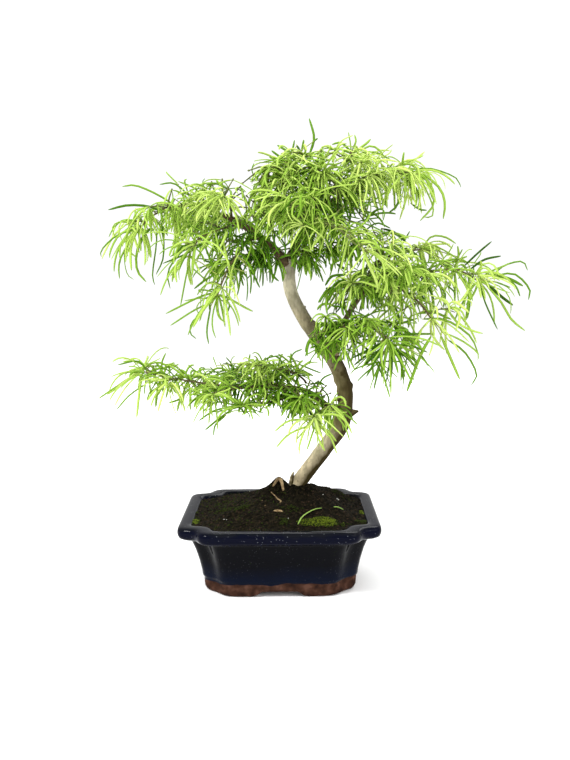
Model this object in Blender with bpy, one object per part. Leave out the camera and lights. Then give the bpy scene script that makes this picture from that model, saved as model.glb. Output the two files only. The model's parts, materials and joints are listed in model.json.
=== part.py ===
"""A golden larch bonsai in a glazed clay pot with notched corners.

The tables below are in millimetres, and MM turns them into Blender's metres. The pot stands on the
ground at z = 0 with its footprint centred on x = 0, y = 0, its long side along X and its front
towards -Y. The last step moves the whole plant so that its bounding box is centred over the origin.
"""

import itertools
import math
import random

import bmesh
import bpy
from mathutils import Matrix, Vector, noise
from mathutils.kdtree import KDTree

MM = 0.001
GAP = 0.3  # clear space between pieces that touch
UP = Vector((0, 0, 1))

# --- Pot ---------------------------------------------------------------------------------------
POT_HALF_WIDTH = 90.0
POT_HALF_DEPTH = 70.0
POT_HEIGHT = 65.5
NOTCH_AT_RIM = (20.0, 14.0)  # how far each corner steps in, along X and Y
NOTCH_AT_FOOT = (15.5, 13.0)
EAR_RADIUS = 6.0  # rounding of the corners that stick out, at the rim
LEAST_EAR_RADIUS = 3.5
EAR_TIGHTENING = 0.125  # what each millimetre of inset takes off the rounding
NOTCH_RADIUS = 8.0  # rounding of the corner that steps in, at the rim
NOTCH_TIGHTENING = 1.5  # what that rounding loses down to the foot
CORNER_STEPS = 2
# Sections of the pot from the middle of its floor, up the inside, over the rim and down the
# outside to the foot: how far in from the rim's outline, and how high.
POT_SECTIONS = (
    (27.0, 12.0), (18.0, 54.0), (10.4, 65.1), (9.0, 65.5), (2.6, 65.5), (0.8, 64.7),
    (0.0, 62.7), (0.0, 58.6), (0.9, 56.2), (3.2, 54.4), (6.8, 53.4), (9.6, 52.0),
    (13.6, 41.0), (16.4, 29.5), (18.4, 18.0), (18.8, 14.4), (19.8, 13.0), (20.4, 3.5),
    (21.4, 1.0), (22.8, 0.0),
)
# The openings under the pot: half their width at the top and at the ground, and their height.
FRONT_GAP = (16.0, 24.0, 5.5)
SIDE_GAP = (8.0, 14.0, 5.0)
FOOT_RING_WIDTH = 12.0
FOOT_RING_HEIGHT = 6.0
BELOW_GROUND = 1.0  # how far the cutters reach past the pot's underside

# --- Soil --------------------------------------------------------------------------------------
SOIL_EDGE_INSET = 14.2
SOIL_EDGE_HEIGHT = 62.2
SOIL_EDGE_DEPTH = 1.2
SOIL_INSET = 0.4  # how far the soil stays inside the pot's inner wall
MOUND_CENTRE = Vector((16.0, 12.0, 80.0))
MOUND_RADIUS = 15.5  # the flat top that the trunk stands on
MOUND_RINGS = 4
SOIL_ROUGHNESS = 1.1
SOIL_LUMPS = 0.09  # lumps to the millimetre

# --- Limbs -------------------------------------------------------------------------------------
# A limb's route is the points that its middle runs through, and its radii are even along it.
TRUNK_ROUTE = (
    (15, 12, 80.3), (20, 12, 90), (31, 12, 105), (46, 11, 125), (58, 10, 143), (62, 8, 160),
    (61, 5, 180), (53, 3, 202), (38, 1, 224), (23, 0, 246), (13, 1, 267), (11, 2, 284), (13, 3, 297),
)
TRUNK_RADII = (7.8, 7.5, 7.4, 7.3, 7.9, 7.0, 7.1, 6.9, 6.6, 6.2, 5.8, 5.6, 5.4)
FLARE_HEIGHT = 13.0
FLARE_SPREAD = 5.0
ROOT_LOBES = 5
ROOT_LOBE_DEPTH = 0.35  # of the flare
ROOT_LOBE_TURN = 0.8
TRUNK_SIDES = 12
TRUNK_RING_SPACING = 8.5
BOUGH_BEVEL = 1  # six sides
BOUGHS = {
    "left_bough": dict(
        limb="trunk", at=0.965,
        route=((-4, -4, 309), (-20, -8, 321), (-34, -10, 330), (-48, -12, 337)),
        radii=(3.7, 3.4, 3.0, 2.6, 2.2),
    ),
    "crown_bough": dict(
        limb="trunk", at=1.0,
        route=((16, 4, 305), (22, 6, 318), (32, 7, 333), (42, 7, 346)),
        radii=(4.7, 4.3, 3.7, 3.2, 2.6),
    ),
    "lower_left_bough": dict(
        limb="trunk", at=0.372,
        route=((45, 0, 163), (32, -6, 175), (14, -11, 182), (-8, -13, 183), (-30, -13, 184)),
        radii=(3.3, 3.0, 2.8, 2.5, 2.2, 1.9),
    ),
    "right_bough": dict(
        limb="trunk", at=0.575,
        route=((53, -7, 226), (59, -12, 240), (67, -13, 254), (76, -10, 266), (88, -3, 275)),
        radii=(3.0, 2.8, 2.6, 2.4, 2.1, 1.8),
    ),
}

# --- Foliage -----------------------------------------------------------------------------------
# A mass is one stem that leaves its limb at a share of the limb's length and runs through its
# route. It bears a count of side shoots with a mean reach, and rosettes of needles with a mean
# length. Hang, from 0 to 1, is how far its needles weep, and tip is how much longer they are at
# the stem's end.
MASSES = {
    "lower_left_tip": dict(
        limb="lower_left_bough", at=1.0, route=((-57, -12, 186), (-90, -9, 191), (-123, -6, 198)),
        shoots=3, reach=20, needle=27, hang=0.25, tip=1.65,
    ),
    "lower_left_middle": dict(
        limb="lower_left_bough", at=0.84, route=((-34, -28, 185), (-52, -38, 184)),
        shoots=2, reach=18, needle=27, hang=0.35, tip=1.0,
    ),
    "lower_left_front": dict(
        limb="lower_left_bough", at=0.46, route=((2, -26, 174), (-33, -40, 170)),
        shoots=2, reach=16, needle=26, hang=0.2, tip=1.1,
    ),
    "lower_left_top": dict(
        limb="lower_left_bough", at=0.28, route=((22, -10, 191), (9, -16, 199), (-12, -18, 201)),
        shoots=2, reach=22, needle=26, hang=0.0, tip=1.0,
    ),
    "lower_left_inner": dict(
        limb="lower_left_bough", at=0.22, route=((32, -20, 174), (17, -30, 174)),
        shoots=2, reach=18, needle=26, hang=0.3, tip=1.0,
    ),
    "lower_left_back": dict(
        limb="lower_left_bough", at=0.54, route=((-14, 12, 186), (-46, 34, 190)),
        shoots=3, reach=26, needle=29, hang=0.2, tip=1.0,
    ),
    "low_front_sprig": dict(
        limb="trunk", at=0.352, route=((43, -20, 166), (32, -38, 161)),
        shoots=1, reach=12, needle=32, hang=0.15, tip=1.1,
    ),
    "middle_left": dict(
        limb="trunk", at=0.605, route=((44, -18, 236), (42, -32, 247)),
        shoots=1, reach=14, needle=26, hang=0.5, tip=1.0,
    ),
    "middle_front": dict(
        limb="right_bough", at=0.22, route=((54, -26, 240), (60, -46, 238)),
        shoots=2, reach=18, needle=28, hang=0.5, tip=1.0,
    ),
    "middle_right": dict(
        limb="right_bough", at=0.48, route=((76, -32, 241), (88, -46, 234), (95, -50, 226)),
        shoots=3, reach=18, needle=41, hang=0.3, tip=1.05,
    ),
    "right_inner": dict(
        limb="right_bough", at=0.80, route=((80, -30, 276), (90, -44, 284)),
        shoots=2, reach=20, needle=32, hang=0.5, tip=1.0,
    ),
    "right_arm": dict(
        limb="right_bough", at=1.0, route=((112, 5, 279), (140, 8, 285), (165, 6, 286), (181, 0, 276)),
        shoots=3, reach=24, needle=40, hang=0.25, tip=1.15,
    ),
    "right_top": dict(
        limb="right_bough", at=0.82, route=((86, 8, 290), (106, 12, 301), (131, 14, 305)),
        shoots=2, reach=22, needle=34, hang=0.45, tip=1.0,
    ),
    "right_hanging": dict(
        limb="right_bough", at=0.88, route=((106, -24, 271), (122, -36, 259), (131, -45, 245)),
        shoots=2, reach=22, needle=38, hang=0.5, tip=1.0,
    ),
    "right_back": dict(
        limb="right_bough", at=0.70, route=((90, 24, 276), (116, 52, 284)),
        shoots=3, reach=28, needle=34, hang=0.4, tip=1.0,
    ),
    "left_tip": dict(
        limb="left_bough", at=1.0, route=((-66, -15, 343), (-96, -19, 342), (-117, -22, 326)),
        shoots=3, reach=22, needle=37, hang=0.65, tip=1.0,
    ),
    "left_top": dict(
        limb="left_bough", at=0.84, route=((-40, -24, 345), (-50, -34, 348)),
        shoots=2, reach=24, needle=34, hang=0.4, tip=1.0,
    ),
    "left_front": dict(
        limb="left_bough", at=0.72, route=((-50, -34, 322), (-64, -46, 314), (-72, -52, 300)),
        shoots=2, reach=20, needle=40, hang=0.6, tip=1.0,
    ),
    "left_hanging": dict(
        limb="left_bough", at=0.45, route=((-28, -32, 308), (-40, -44, 290), (-49, -50, 268)),
        shoots=2, reach=22, needle=40, hang=0.55, tip=1.1,
    ),
    "left_back": dict(
        limb="left_bough", at=0.66, route=((-48, 24, 336), (-84, 46, 338)),
        shoots=3, reach=30, needle=38, hang=0.5, tip=1.0,
    ),
    "crown_front": dict(
        limb="crown_bough", at=0.42, route=((20, -24, 334), (12, -54, 344)),
        shoots=2, reach=26, needle=40, hang=0.5, tip=1.0,
    ),
    "crown_left": dict(
        limb="crown_bough", at=0.66, route=((12, -4, 346), (7, -8, 362), (8, -12, 377)),
        shoots=3, reach=24, needle=30, hang=0.3, tip=1.0,
    ),
    "crown_middle": dict(
        limb="crown_bough", at=0.80, route=((34, -8, 362), (27, -14, 385)),
        shoots=3, reach=24, needle=38, hang=0.0, tip=1.2,
    ),
    "apex": dict(
        limb="crown_bough", at=1.0, route=((50, 5, 357), (58, 1, 371), (67, 0, 387)),
        shoots=4, reach=25, needle=31, hang=0.35, tip=1.0,
    ),
    "apex_right": dict(
        limb="crown_bough", at=0.90, route=((70, 4, 360), (98, 0, 374), (117, -8, 366)),
        shoots=3, reach=24, needle=38, hang=0.55, tip=1.1,
    ),
    "crown_back": dict(
        limb="crown_bough", at=0.58, route=((24, 34, 346), (16, 64, 354)),
        shoots=3, reach=30, needle=38, hang=0.4, tip=1.0,
    ),
    "cascade": dict(
        limb="crown_bough", at=0.25, route=((38, -30, 328), (56, -52, 321), (73, -70, 302)),
        shoots=2, reach=26, needle=36, hang=0.5, tip=1.1,
    ),
    "under_left": dict(
        limb="left_bough", at=0.20, route=((-16, 6, 299), (-34, 10, 294)),
        shoots=2, reach=20, needle=30, hang=0.4, tip=1.0,
    ),
    "under_right": dict(
        limb="trunk", at=0.965, route=((30, -8, 303), (50, -18, 306)),
        shoots=2, reach=20, needle=30, hang=0.4, tip=1.0,
    ),
}
STEM_RADII = (1.5, 0.9)  # a stem at its limb and at its tip
SHOOT_RADII = (1.0, 0.7)
FIRST_SHOOT = 0.32  # shares of the stem where its side shoots begin and end
LAST_SHOOT = 0.92
SHOOT_ANGLE = (48, 72)  # degrees away from the stem
SHOOT_RISE = (0.0, 0.45)
SHOOT_SPREAD = (0.85, 1.15)  # of a mass's mean reach
SHOOT_BEND = 0.55  # share of its reach up to its bend
SHOOT_DROOP = 0.12
SHOOT_CLEARANCE = 4.0
BARE_STEM = 0.30  # share of the stem before its first rosette
SPUR_SPACING = 23.0  # between rosettes along a stem
SPUR_STEP = 0.8  # how far such a rosette stands off the stem's middle
SPUR_LEAN = 0.8  # how far it looks sideways, against its rise
SPUR_RISE = (-0.2, 0.9)
SPUR_SIZE = 0.85
HUB_RADIUS = 2.1
HUB_FACE_DEPTH = 0.8  # how far out a hub's faces lie, against its radius
HUB_CLEARANCE = 0.8
HUB_POINTS = [Vector(p) for p in itertools.product((-1, 0, 1), repeat=3) if Vector(p).length <= 1]
NEEDLE_BEND = 0.5  # share of a needle's length up to its bend
NEEDLE_THICKNESS = 0.8  # at the bend, against its root
NEEDLE_SPREAD = (0.86, 1.12)  # of a mass's mean needle length
NEEDLE_SHRINKS = (1.0, 0.9, 0.8, 0.65)  # tried in turn where a needle doesn't fit
NEEDLE_SAG = (0.04, 0.34)
HANG_SAG = 0.4  # what a full hang adds to a needle's sag
HANG_SHADE = 0.6  # how much of a hub's upper side a full hang leaves bare
# How far from a twig's way a needle may look: back past a tip, along a stem, and back from a spur.
LEAST_AT_TIP = -0.55
MOST_ALONG_STEM = 0.75
LEAST_AT_SPUR = -0.45
NEEDLE_SAMPLES = 12
LIMB_SAMPLE_SPACING = 4.0
TWIG_SAMPLE_SPACING = 3.0
AXIS_SAMPLE_SPACING = 6.0
LIMB_CLEARANCE = 2.5
SAME_MASS_CLEARANCE = 2.2
OTHER_MASS_CLEARANCE = 3.6
NEIGHBOURS = list(itertools.product((-1, 0, 1), repeat=3))
SPACE_OVERLAP = 7.0  # how far a needle may reach past the middle between two masses
NEEDLE_BUDGET = 725
MOST_NEEDLES = 8.0  # on one rosette
UNION_SOLVER = "MANIFOLD"


# --- Geometry helpers --------------------------------------------------------------------------
def principled(name, color, roughness, coat=0.0):
    material = bpy.data.materials.new(name)
    material.use_nodes = True
    shader = material.node_tree.nodes["Principled BSDF"]
    shader.inputs["Base Color"].default_value = (*color, 1)
    shader.inputs["Roughness"].default_value = roughness
    shader.inputs["Coat Weight"].default_value = coat
    material.diffuse_color = (*color, 1)
    return material


def smooth_path(points, steps):
    """A Catmull-Rom curve through the points."""
    points = [Vector(point) for point in points]
    around = [2 * points[0] - points[1], *points, 2 * points[-1] - points[-2]]
    path = []
    for before, start, end, after in zip(around, around[1:], around[2:], around[3:]):
        for step in range(steps):
            t = step / steps
            bend = (2 * before - 5 * start + 4 * end - after) * t**2
            twist = (3 * start - before - 3 * end + after) * t**3
            path.append((2 * start + (end - before) * t + bend + twist) / 2)
    return [*path, points[-1]]


def shared_out(values, count):
    """As many values as asked for, evenly read from a list by straight lines between its entries."""
    found = []
    for step in range(count):
        place = step / (count - 1) * (len(values) - 1)
        low = min(int(place), len(values) - 2)
        found.append(values[low] + (values[low + 1] - values[low]) * (place - low))
    return found


class Limb:
    """A tapering limb, stem or shoot: the path of its middle, and its radius at each point."""

    def __init__(self, start, route, radii, steps=3):
        """Start is one point, or two where the limb first runs straight on from another's tip."""
        self.path = [*start[:-1], *smooth_path([start[-1], *route], steps)]
        self.radii = shared_out(radii, len(self.path))
        self.reach = [0.0]
        for start, end in zip(self.path, self.path[1:]):
            self.reach.append(self.reach[-1] + (end - start).length)
        self.length = self.reach[-1]

    def at(self, share):
        """The place, direction and radius at a share of the limb's length."""
        wanted = share * self.length
        index = 0
        while index < len(self.path) - 2 and self.reach[index + 1] < wanted:
            index += 1
        start, end = self.path[index], self.path[index + 1]
        part = (wanted - self.reach[index]) / (self.reach[index + 1] - self.reach[index])
        radius = self.radii[index] + (self.radii[index + 1] - self.radii[index]) * part
        return start.lerp(end, part), (end - start).normalized(), radius

    def samples(self, spacing):
        count = max(2, round(self.length / spacing) + 1)
        return [self.at(step / (count - 1)) for step in range(count)]

    def places(self, spacing):
        return [place for place, _, _ in self.samples(spacing)]


def leaving(limb, share, towards, radius):
    """The first points of a thinner limb, whose flat end stays clear of the limb that carries it."""
    place, along, limb_radius = limb.at(share)
    if share == 1.0:
        return [place + along * GAP, place + along * (GAP + radius)]
    away = (Vector(towards) - place).normalized()
    cosine = abs(away.dot(along))
    sine = math.sqrt(1 - cosine**2)
    return [place + away * (limb_radius + GAP + radius * cosine) / sine]


# --- Mesh helpers ------------------------------------------------------------------------------
def add_object(name, mesh, material, collection):
    piece = bpy.data.objects.new(name, mesh)
    mesh.materials.clear()
    mesh.materials.append(material)
    collection.objects.link(piece)
    return piece


def loft(name, rings):
    """A closed mesh through rings of equally many points, with both ends filled."""
    shape = bmesh.new()
    loops = [[shape.verts.new(point * MM) for point in ring] for ring in rings]
    count = len(loops[0])
    for lower, upper in zip(loops, loops[1:]):
        for i in range(count):
            j = (i + 1) % count
            shape.faces.new((lower[i], lower[j], upper[j], upper[i]))
    shape.faces.new(reversed(loops[0]))
    shape.faces.new(loops[-1])
    bmesh.ops.recalc_face_normals(shape, faces=shape.faces)
    mesh = bpy.data.meshes.new(name)
    shape.to_mesh(mesh)
    shape.free()
    return mesh


def add_triangle_profile():
    """The three-sided outline, one millimetre in radius, that twigs are drawn with."""
    outline = bpy.data.curves.new("twig_outline", "CURVE")
    spline = outline.splines.new("POLY")
    spline.points.add(2)
    for i, point in enumerate(spline.points):
        angle = math.tau * i / 3
        point.co = (MM * math.cos(angle), MM * math.sin(angle), 0, 1)
    spline.use_cyclic_u = True
    guide = bpy.data.objects.new("twig_outline", outline)
    guide.hide_render = True
    guide.display_type = "WIRE"
    bpy.context.scene.collection.objects.link(guide)
    return guide


def tube_mesh(name, limb, bevel_resolution=None, outline=None):
    """A limb's mesh: a curve with a round bevel, or with the given outline swept along it."""
    curve = bpy.data.curves.new(name, "CURVE")
    curve.dimensions = "3D"
    curve.twist_mode = "MINIMUM"
    curve.use_fill_caps = True
    if outline is None:
        curve.bevel_depth = MM
        curve.bevel_resolution = bevel_resolution
    else:
        curve.bevel_mode = "OBJECT"
        curve.bevel_object = outline
    spline = curve.splines.new("POLY")
    spline.points.add(len(limb.path) - 1)
    for point, place, radius in zip(spline.points, limb.path, limb.radii):
        point.co = (*(place * MM), 1)
        point.radius = radius
    guide = bpy.data.objects.new(name, curve)
    bpy.context.scene.collection.objects.link(guide)
    graph = bpy.context.evaluated_depsgraph_get()
    mesh = bpy.data.meshes.new_from_object(guide.evaluated_get(graph))
    bpy.data.objects.remove(guide)
    bpy.data.curves.remove(curve)
    weld_and_face_out(mesh)
    return mesh


def weld_and_face_out(mesh):
    shape = bmesh.new()
    shape.from_mesh(mesh)
    bmesh.ops.remove_doubles(shape, verts=shape.verts, dist=0.01 * MM)
    bmesh.ops.recalc_face_normals(shape, faces=shape.faces)
    shape.to_mesh(mesh)
    shape.free()


def evaluated_copy(piece, name):
    graph = bpy.context.evaluated_depsgraph_get()
    mesh = bpy.data.meshes.new_from_object(piece.evaluated_get(graph))
    mesh.name = name
    return mesh


# --- Pot ---------------------------------------------------------------------------------------
def pot_outline(inset, height):
    """The pot's outline at one level, counterclockwise: a rectangle whose corners step in."""
    low = 1 - min(max(height / POT_HEIGHT, 0), 1)
    notch_x, notch_y = (
        rim + (foot - rim) * low for rim, foot in zip(NOTCH_AT_RIM, NOTCH_AT_FOOT)
    )
    half_x = POT_HALF_WIDTH - inset
    half_y = POT_HALF_DEPTH - inset
    ear = max(EAR_RADIUS - inset * EAR_TIGHTENING, LEAST_EAR_RADIUS)
    hollow = NOTCH_RADIUS - low * NOTCH_TIGHTENING
    corners = (
        (Vector((half_x, half_y - notch_y)), Vector((0, -1)), Vector((-1, 0)), ear),
        (Vector((half_x - notch_x, half_y - notch_y)), Vector((1, 0)), Vector((0, 1)), hollow),
        (Vector((half_x - notch_x, half_y)), Vector((0, -1)), Vector((-1, 0)), ear),
    )
    quarter = []
    for corner, back, ahead, radius in corners:
        centre = corner + (back + ahead) * radius
        for step in range(CORNER_STEPS + 1):
            angle = math.pi / 2 * step / CORNER_STEPS
            quarter.append(centre - (ahead * math.cos(angle) + back * math.sin(angle)) * radius)
    points = []
    for sign_x, sign_y, order in ((1, 1, 1), (-1, 1, -1), (-1, -1, 1), (1, -1, -1)):
        points += [Vector((p.x * sign_x, p.y * sign_y, height)) for p in quarter[::order]]
    return points


def add_gap_cutter(name, half_top, half_ground, height, half_length, turn, collection):
    """A prism that is wider at the ground than at its top. It runs along Y, or as far turned."""
    shape = bmesh.new()
    bmesh.ops.create_cube(shape, size=2)
    for vert in shape.verts:
        top = vert.co.z > 0
        widening = (half_ground - half_top) * BELOW_GROUND / height
        vert.co.x *= (half_top if top else half_ground + widening) * MM
        vert.co.y *= half_length * MM
        vert.co.z = (height if top else -BELOW_GROUND) * MM
    bmesh.ops.rotate(shape, verts=shape.verts, matrix=Matrix.Rotation(turn, 3, "Z"))
    mesh = bpy.data.meshes.new(name)
    shape.to_mesh(mesh)
    shape.free()
    cutter = bpy.data.objects.new(name, mesh)
    cutter.hide_render = True
    cutter.display_type = "WIRE"
    collection.objects.link(cutter)


def add_pot(collection, cutters):
    """The pot, with four feet left by two crossing gaps and a recess between them."""
    glaze = principled("navy_glaze", (0.01, 0.012, 0.03), 0.12, coat=1.0)
    rings = [pot_outline(inset, height) for inset, height in POT_SECTIONS]
    pot = add_object("pot", loft("pot", rings), glaze, collection)
    foot_inset = POT_SECTIONS[-1][0] + FOOT_RING_WIDTH
    recess_x = POT_HALF_WIDTH - foot_inset
    recess_y = POT_HALF_DEPTH - foot_inset
    recess = (recess_x, recess_x, FOOT_RING_HEIGHT)
    add_gap_cutter("gap_front_to_back", *FRONT_GAP, 2 * POT_HALF_DEPTH, 0.0, cutters)
    add_gap_cutter("gap_side_to_side", *SIDE_GAP, 2 * POT_HALF_WIDTH, math.pi / 2, cutters)
    add_gap_cutter("gap_in_foot_ring", *recess, recess_y, 0.0, cutters)
    for cutter in cutters.objects:
        cut = pot.modifiers.new(cutter.name, "BOOLEAN")
        cut.operation = "DIFFERENCE"
        cut.object = cutter


# --- Soil --------------------------------------------------------------------------------------
def add_soil(collection):
    """Soil that fills the pot and rises to a mound with a flat top under the trunk."""
    earth = principled("potting_soil", (0.03, 0.022, 0.014), 0.95)
    inside = POT_SECTIONS[:2]
    rings = [pot_outline(inset + SOIL_INSET, height + GAP) for inset, height in inside]
    edge = pot_outline(SOIL_EDGE_INSET, SOIL_EDGE_HEIGHT)
    rings.append([point - UP * SOIL_EDGE_DEPTH for point in edge])
    rings.append(edge)
    for step in range(1, MOUND_RINGS + 1):
        share = step / MOUND_RINGS
        rise = share**2 * (3 - 2 * share)
        ring = []
        for point in edge:
            away = (point - MOUND_CENTRE).to_2d().normalized().to_3d()
            top = MOUND_CENTRE + away * MOUND_RADIUS
            place = point.lerp(top, share)
            place.z = point.z + (MOUND_CENTRE.z - point.z) * rise
            if step < MOUND_RINGS:
                place.z += noise.noise(place * SOIL_LUMPS) * SOIL_ROUGHNESS
            ring.append(place)
        rings.append(ring)
    add_object("soil", loft("soil", rings), earth, collection)


# --- Trunk and boughs --------------------------------------------------------------------------
def trunk_rings(limb):
    """Level at the ground, square to the trunk above, and lobed where the roots flare out."""
    rings = []
    side = Vector((1, 0, 0))
    for place, along, radius in limb.samples(TRUNK_RING_SPACING):
        height = place.z - limb.path[0].z
        flare = max(0.0, 1 - height / FLARE_HEIGHT) ** 2
        along = along.lerp(UP, max(0.0, 1 - height / FLARE_HEIGHT)).normalized()
        side = (side - along * side.dot(along)).normalized()
        other = along.cross(side)
        ring = []
        for i in range(TRUNK_SIDES):
            angle = math.tau * i / TRUNK_SIDES
            lobe = 1 + ROOT_LOBE_DEPTH * math.cos(angle * ROOT_LOBES + ROOT_LOBE_TURN)
            reach = radius + FLARE_SPREAD * flare * lobe
            ring.append(place + (side * math.cos(angle) + other * math.sin(angle)) * reach)
        rings.append(ring)
    return rings


def add_limbs(collection):
    """The trunk and boughs, and the paths that the foliage grows from."""
    bark = principled("bark", (0.42, 0.33, 0.22), 0.85)
    limbs = plan_limbs()
    for name, limb in limbs.items():
        if name == "trunk":
            mesh = loft(name, trunk_rings(limb))
        else:
            mesh = tube_mesh(name, limb, bevel_resolution=BOUGH_BEVEL)
        mesh.shade_smooth()
        add_object(name, mesh, bark, collection)
    return limbs


def plan_limbs():
    limbs = {"trunk": Limb(TRUNK_ROUTE[:1], TRUNK_ROUTE[1:], TRUNK_RADII)}
    for name, bough in BOUGHS.items():
        start = leaving(limbs[bough["limb"]], bough["at"], bough["route"][0], bough["radii"][0])
        limbs[name] = Limb(start, bough["route"], bough["radii"])
    return limbs


# --- Growth rule -------------------------------------------------------------------------------
class Rosette:
    """A hub on a twig with needles standing out of its faces."""

    def __init__(self, place, axis, twig, size, at_tip, spin):
        self.place = place
        self.axis = axis
        self.twig = twig
        self.size = size
        self.at_tip = at_tip
        turn = axis.to_track_quat("Z", "Y").to_matrix() @ Matrix.Rotation(spin, 3, "Z")
        self.matrix = Matrix.Translation(place) @ turn.to_4x4()
        self.needles = []


class Mass:
    """The twigs and rosettes of one mass of foliage, before any mesh is made."""

    def __init__(self, name, plan, limbs):
        self.name = name
        self.plan = plan
        self.random = random.Random(name)
        start = leaving(limbs[plan["limb"]], plan["at"], plan["route"][0], STEM_RADII[0])
        self.stem = Limb(start, plan["route"], STEM_RADII, steps=2)
        self.shoots = []
        self.rosettes = []

    def side_shoot(self, index):
        """The shoots leave the stem by turns to its two sides, each a little up and then over."""
        share = FIRST_SHOOT + (LAST_SHOOT - FIRST_SHOOT) * index / max(self.plan["shoots"] - 1, 1)
        place, along, _ = self.stem.at(share)
        turn = math.radians(self.random.uniform(*SHOOT_ANGLE)) * (1 if index % 2 else -1)
        level = Vector((along.x, along.y, 0)).normalized()
        rise = self.random.uniform(*SHOOT_RISE)
        out = (Matrix.Rotation(turn, 3, "Z") @ level + UP * rise).normalized()
        length = self.plan["reach"] * self.random.uniform(*SHOOT_SPREAD)
        middle = place + out * length * SHOOT_BEND
        end = place + out * length - UP * length * SHOOT_DROOP
        return Limb([place], (middle, end), SHOOT_RADII, steps=1)

    def add_rosette(self, place, axis, along, size, at_tip):
        spin = self.random.uniform(0, math.tau)
        self.rosettes.append(Rosette(place, axis, along, size, at_tip, spin))

    def place_rosettes(self):
        """One at every tip, and more at even steps along the stem, on alternate sides."""
        for twig in (self.stem, *self.shoots):
            place, along, _ = twig.at(1.0)
            size = self.plan["tip"] if twig is self.stem else 1.0
            self.add_rosette(place, along, along, size, True)
        bare = BARE_STEM * self.stem.length
        for index in range(int((self.stem.length - bare) / SPUR_SPACING)):
            place, along, _ = self.stem.at((bare + SPUR_SPACING * index) / self.stem.length)
            across = along.cross(UP).normalized() * (1 if index % 2 else -1)
            out = (across * SPUR_LEAN + UP * self.random.uniform(*SPUR_RISE)).normalized()
            self.add_rosette(place + out * SPUR_STEP, out, along, SPUR_SIZE, False)


class Crowd:
    """The places already taken, kept in cubes so that the near ones are found quickly."""

    def __init__(self):
        self.cubes = {}

    @staticmethod
    def cube(place):
        return tuple(math.floor(value / OTHER_MASS_CLEARANCE) for value in place)

    def add(self, places, owner):
        for place in places:
            self.cubes.setdefault(self.cube(place), []).append((place, owner))

    def leaves_room(self, places, owner, from_own=SAME_MASS_CLEARANCE):
        for place in places:
            x, y, z = self.cube(place)
            for i, j, k in NEIGHBOURS:
                for other, its_owner in self.cubes.get((x + i, y + j, z + k), ()):
                    least = from_own if its_owner == owner else OTHER_MASS_CLEARANCE
                    if (place - other).length < least:
                        return False
        return True


def tree_of(places):
    tree = KDTree(len(places))
    for index, place in enumerate(places):
        tree.insert(place, index)
    tree.balance()
    return tree


def hub_faces():
    """The middle of each face of a hub of radius 1."""
    shape = bmesh.new()
    bmesh.ops.create_icosphere(shape, subdivisions=1, radius=1)
    middles = [face.calc_center_median() for face in shape.faces]
    shape.free()
    return middles


def needle_place(root, out, length, sag, share):
    """A point of a needle that sets out straight and then bends down under its own weight."""
    return root + (out * share - UP * sag * share**2) * length


def plan_twigs(limbs):
    """Each mass's stem, side shoots and rosettes. A shoot that would touch another is left out."""
    masses = [Mass(name, plan, limbs) for name, plan in MASSES.items()]
    bark = []
    for limb in limbs.values():
        bark += [(place, radius) for place, _, radius in limb.samples(LIMB_SAMPLE_SPACING)]
    twigs = Crowd()
    for mass in masses:
        twigs.add(mass.stem.places(TWIG_SAMPLE_SPACING), mass.name)
    for mass in masses:
        for index in range(mass.plan["shoots"]):
            shoot = mass.side_shoot(index)
            outer = shoot.places(TWIG_SAMPLE_SPACING)[2:]
            off_bark = all((p - b).length > r + SHOOT_CLEARANCE for p in outer for b, r in bark)
            if off_bark and twigs.leaves_room(outer, mass.name, 0.0):
                mass.shoots.append(shoot)
                twigs.add(outer, mass.name)
        mass.place_rosettes()
    return masses, bark, twigs


def plan_needles(masses, bark, crowd):
    """The needles of every rosette, dealt out so that no mass takes its neighbour's room."""
    faces = hub_faces()
    bark_tree = tree_of([place for place, _ in bark])
    axes = {}
    for mass in masses:
        twigs = (mass.stem, *mass.shoots)
        axes[mass.name] = tree_of([p for twig in twigs for p in twig.places(AXIS_SAMPLE_SPACING)])
    keep_clear_rosettes(masses, bark, bark_tree, crowd)
    dealt = [(mass, rosette) for mass in masses for rosette in mass.rosettes]
    chance = random.Random("needles")
    chance.shuffle(dealt)
    dealt.sort(key=lambda pair: not pair[1].at_tip)
    left = 0.0
    for mass, rosette in dealt:
        left = min(left + NEEDLE_BUDGET / len(dealt), MOST_NEEDLES)
        turn = rosette.matrix.to_3x3()
        outs = [(index, (turn @ middle).normalized()) for index, middle in enumerate(faces)]
        outs = [(index, out) for index, out in outs if opens(rosette, out, mass.plan["hang"])]
        chance.shuffle(outs)
        for index, out in outs:
            if left < 1:
                break
            for shrink in NEEDLE_SHRINKS:
                needle = grow_needle(mass, rosette, index, out, shrink, chance)
                if fits(needle, mass.name, crowd, axes, bark, bark_tree):
                    rosette.needles.append(needle)
                    crowd.add(needle["places"][1:], mass.name)
                    left -= 1
                    break


def keep_clear_rosettes(masses, bark, bark_tree, crowd):
    """Drops a rosette whose hub would touch a limb or another mass."""
    for mass in masses:
        kept = []
        for rosette in mass.rosettes:
            _, index, distance = bark_tree.find(rosette.place)
            hub = [rosette.place + step * HUB_RADIUS for step in HUB_POINTS]
            off_bark = distance > bark[index][1] + HUB_RADIUS + HUB_CLEARANCE
            if off_bark and crowd.leaves_room(hub, mass.name, 0.0):
                crowd.add(hub, mass.name)
                kept.append(rosette)
        mass.rosettes = kept


def opens(rosette, out, hang):
    """Whether a hub's face looks away from the twig that runs through the hub, and not too far up."""
    along = out.dot(rosette.twig)
    if out.z > 1.0 - HANG_SHADE * hang:
        return False
    if rosette.at_tip:
        return along > LEAST_AT_TIP
    return abs(along) < MOST_ALONG_STEM and out.dot(rosette.axis) > LEAST_AT_SPUR


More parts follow.
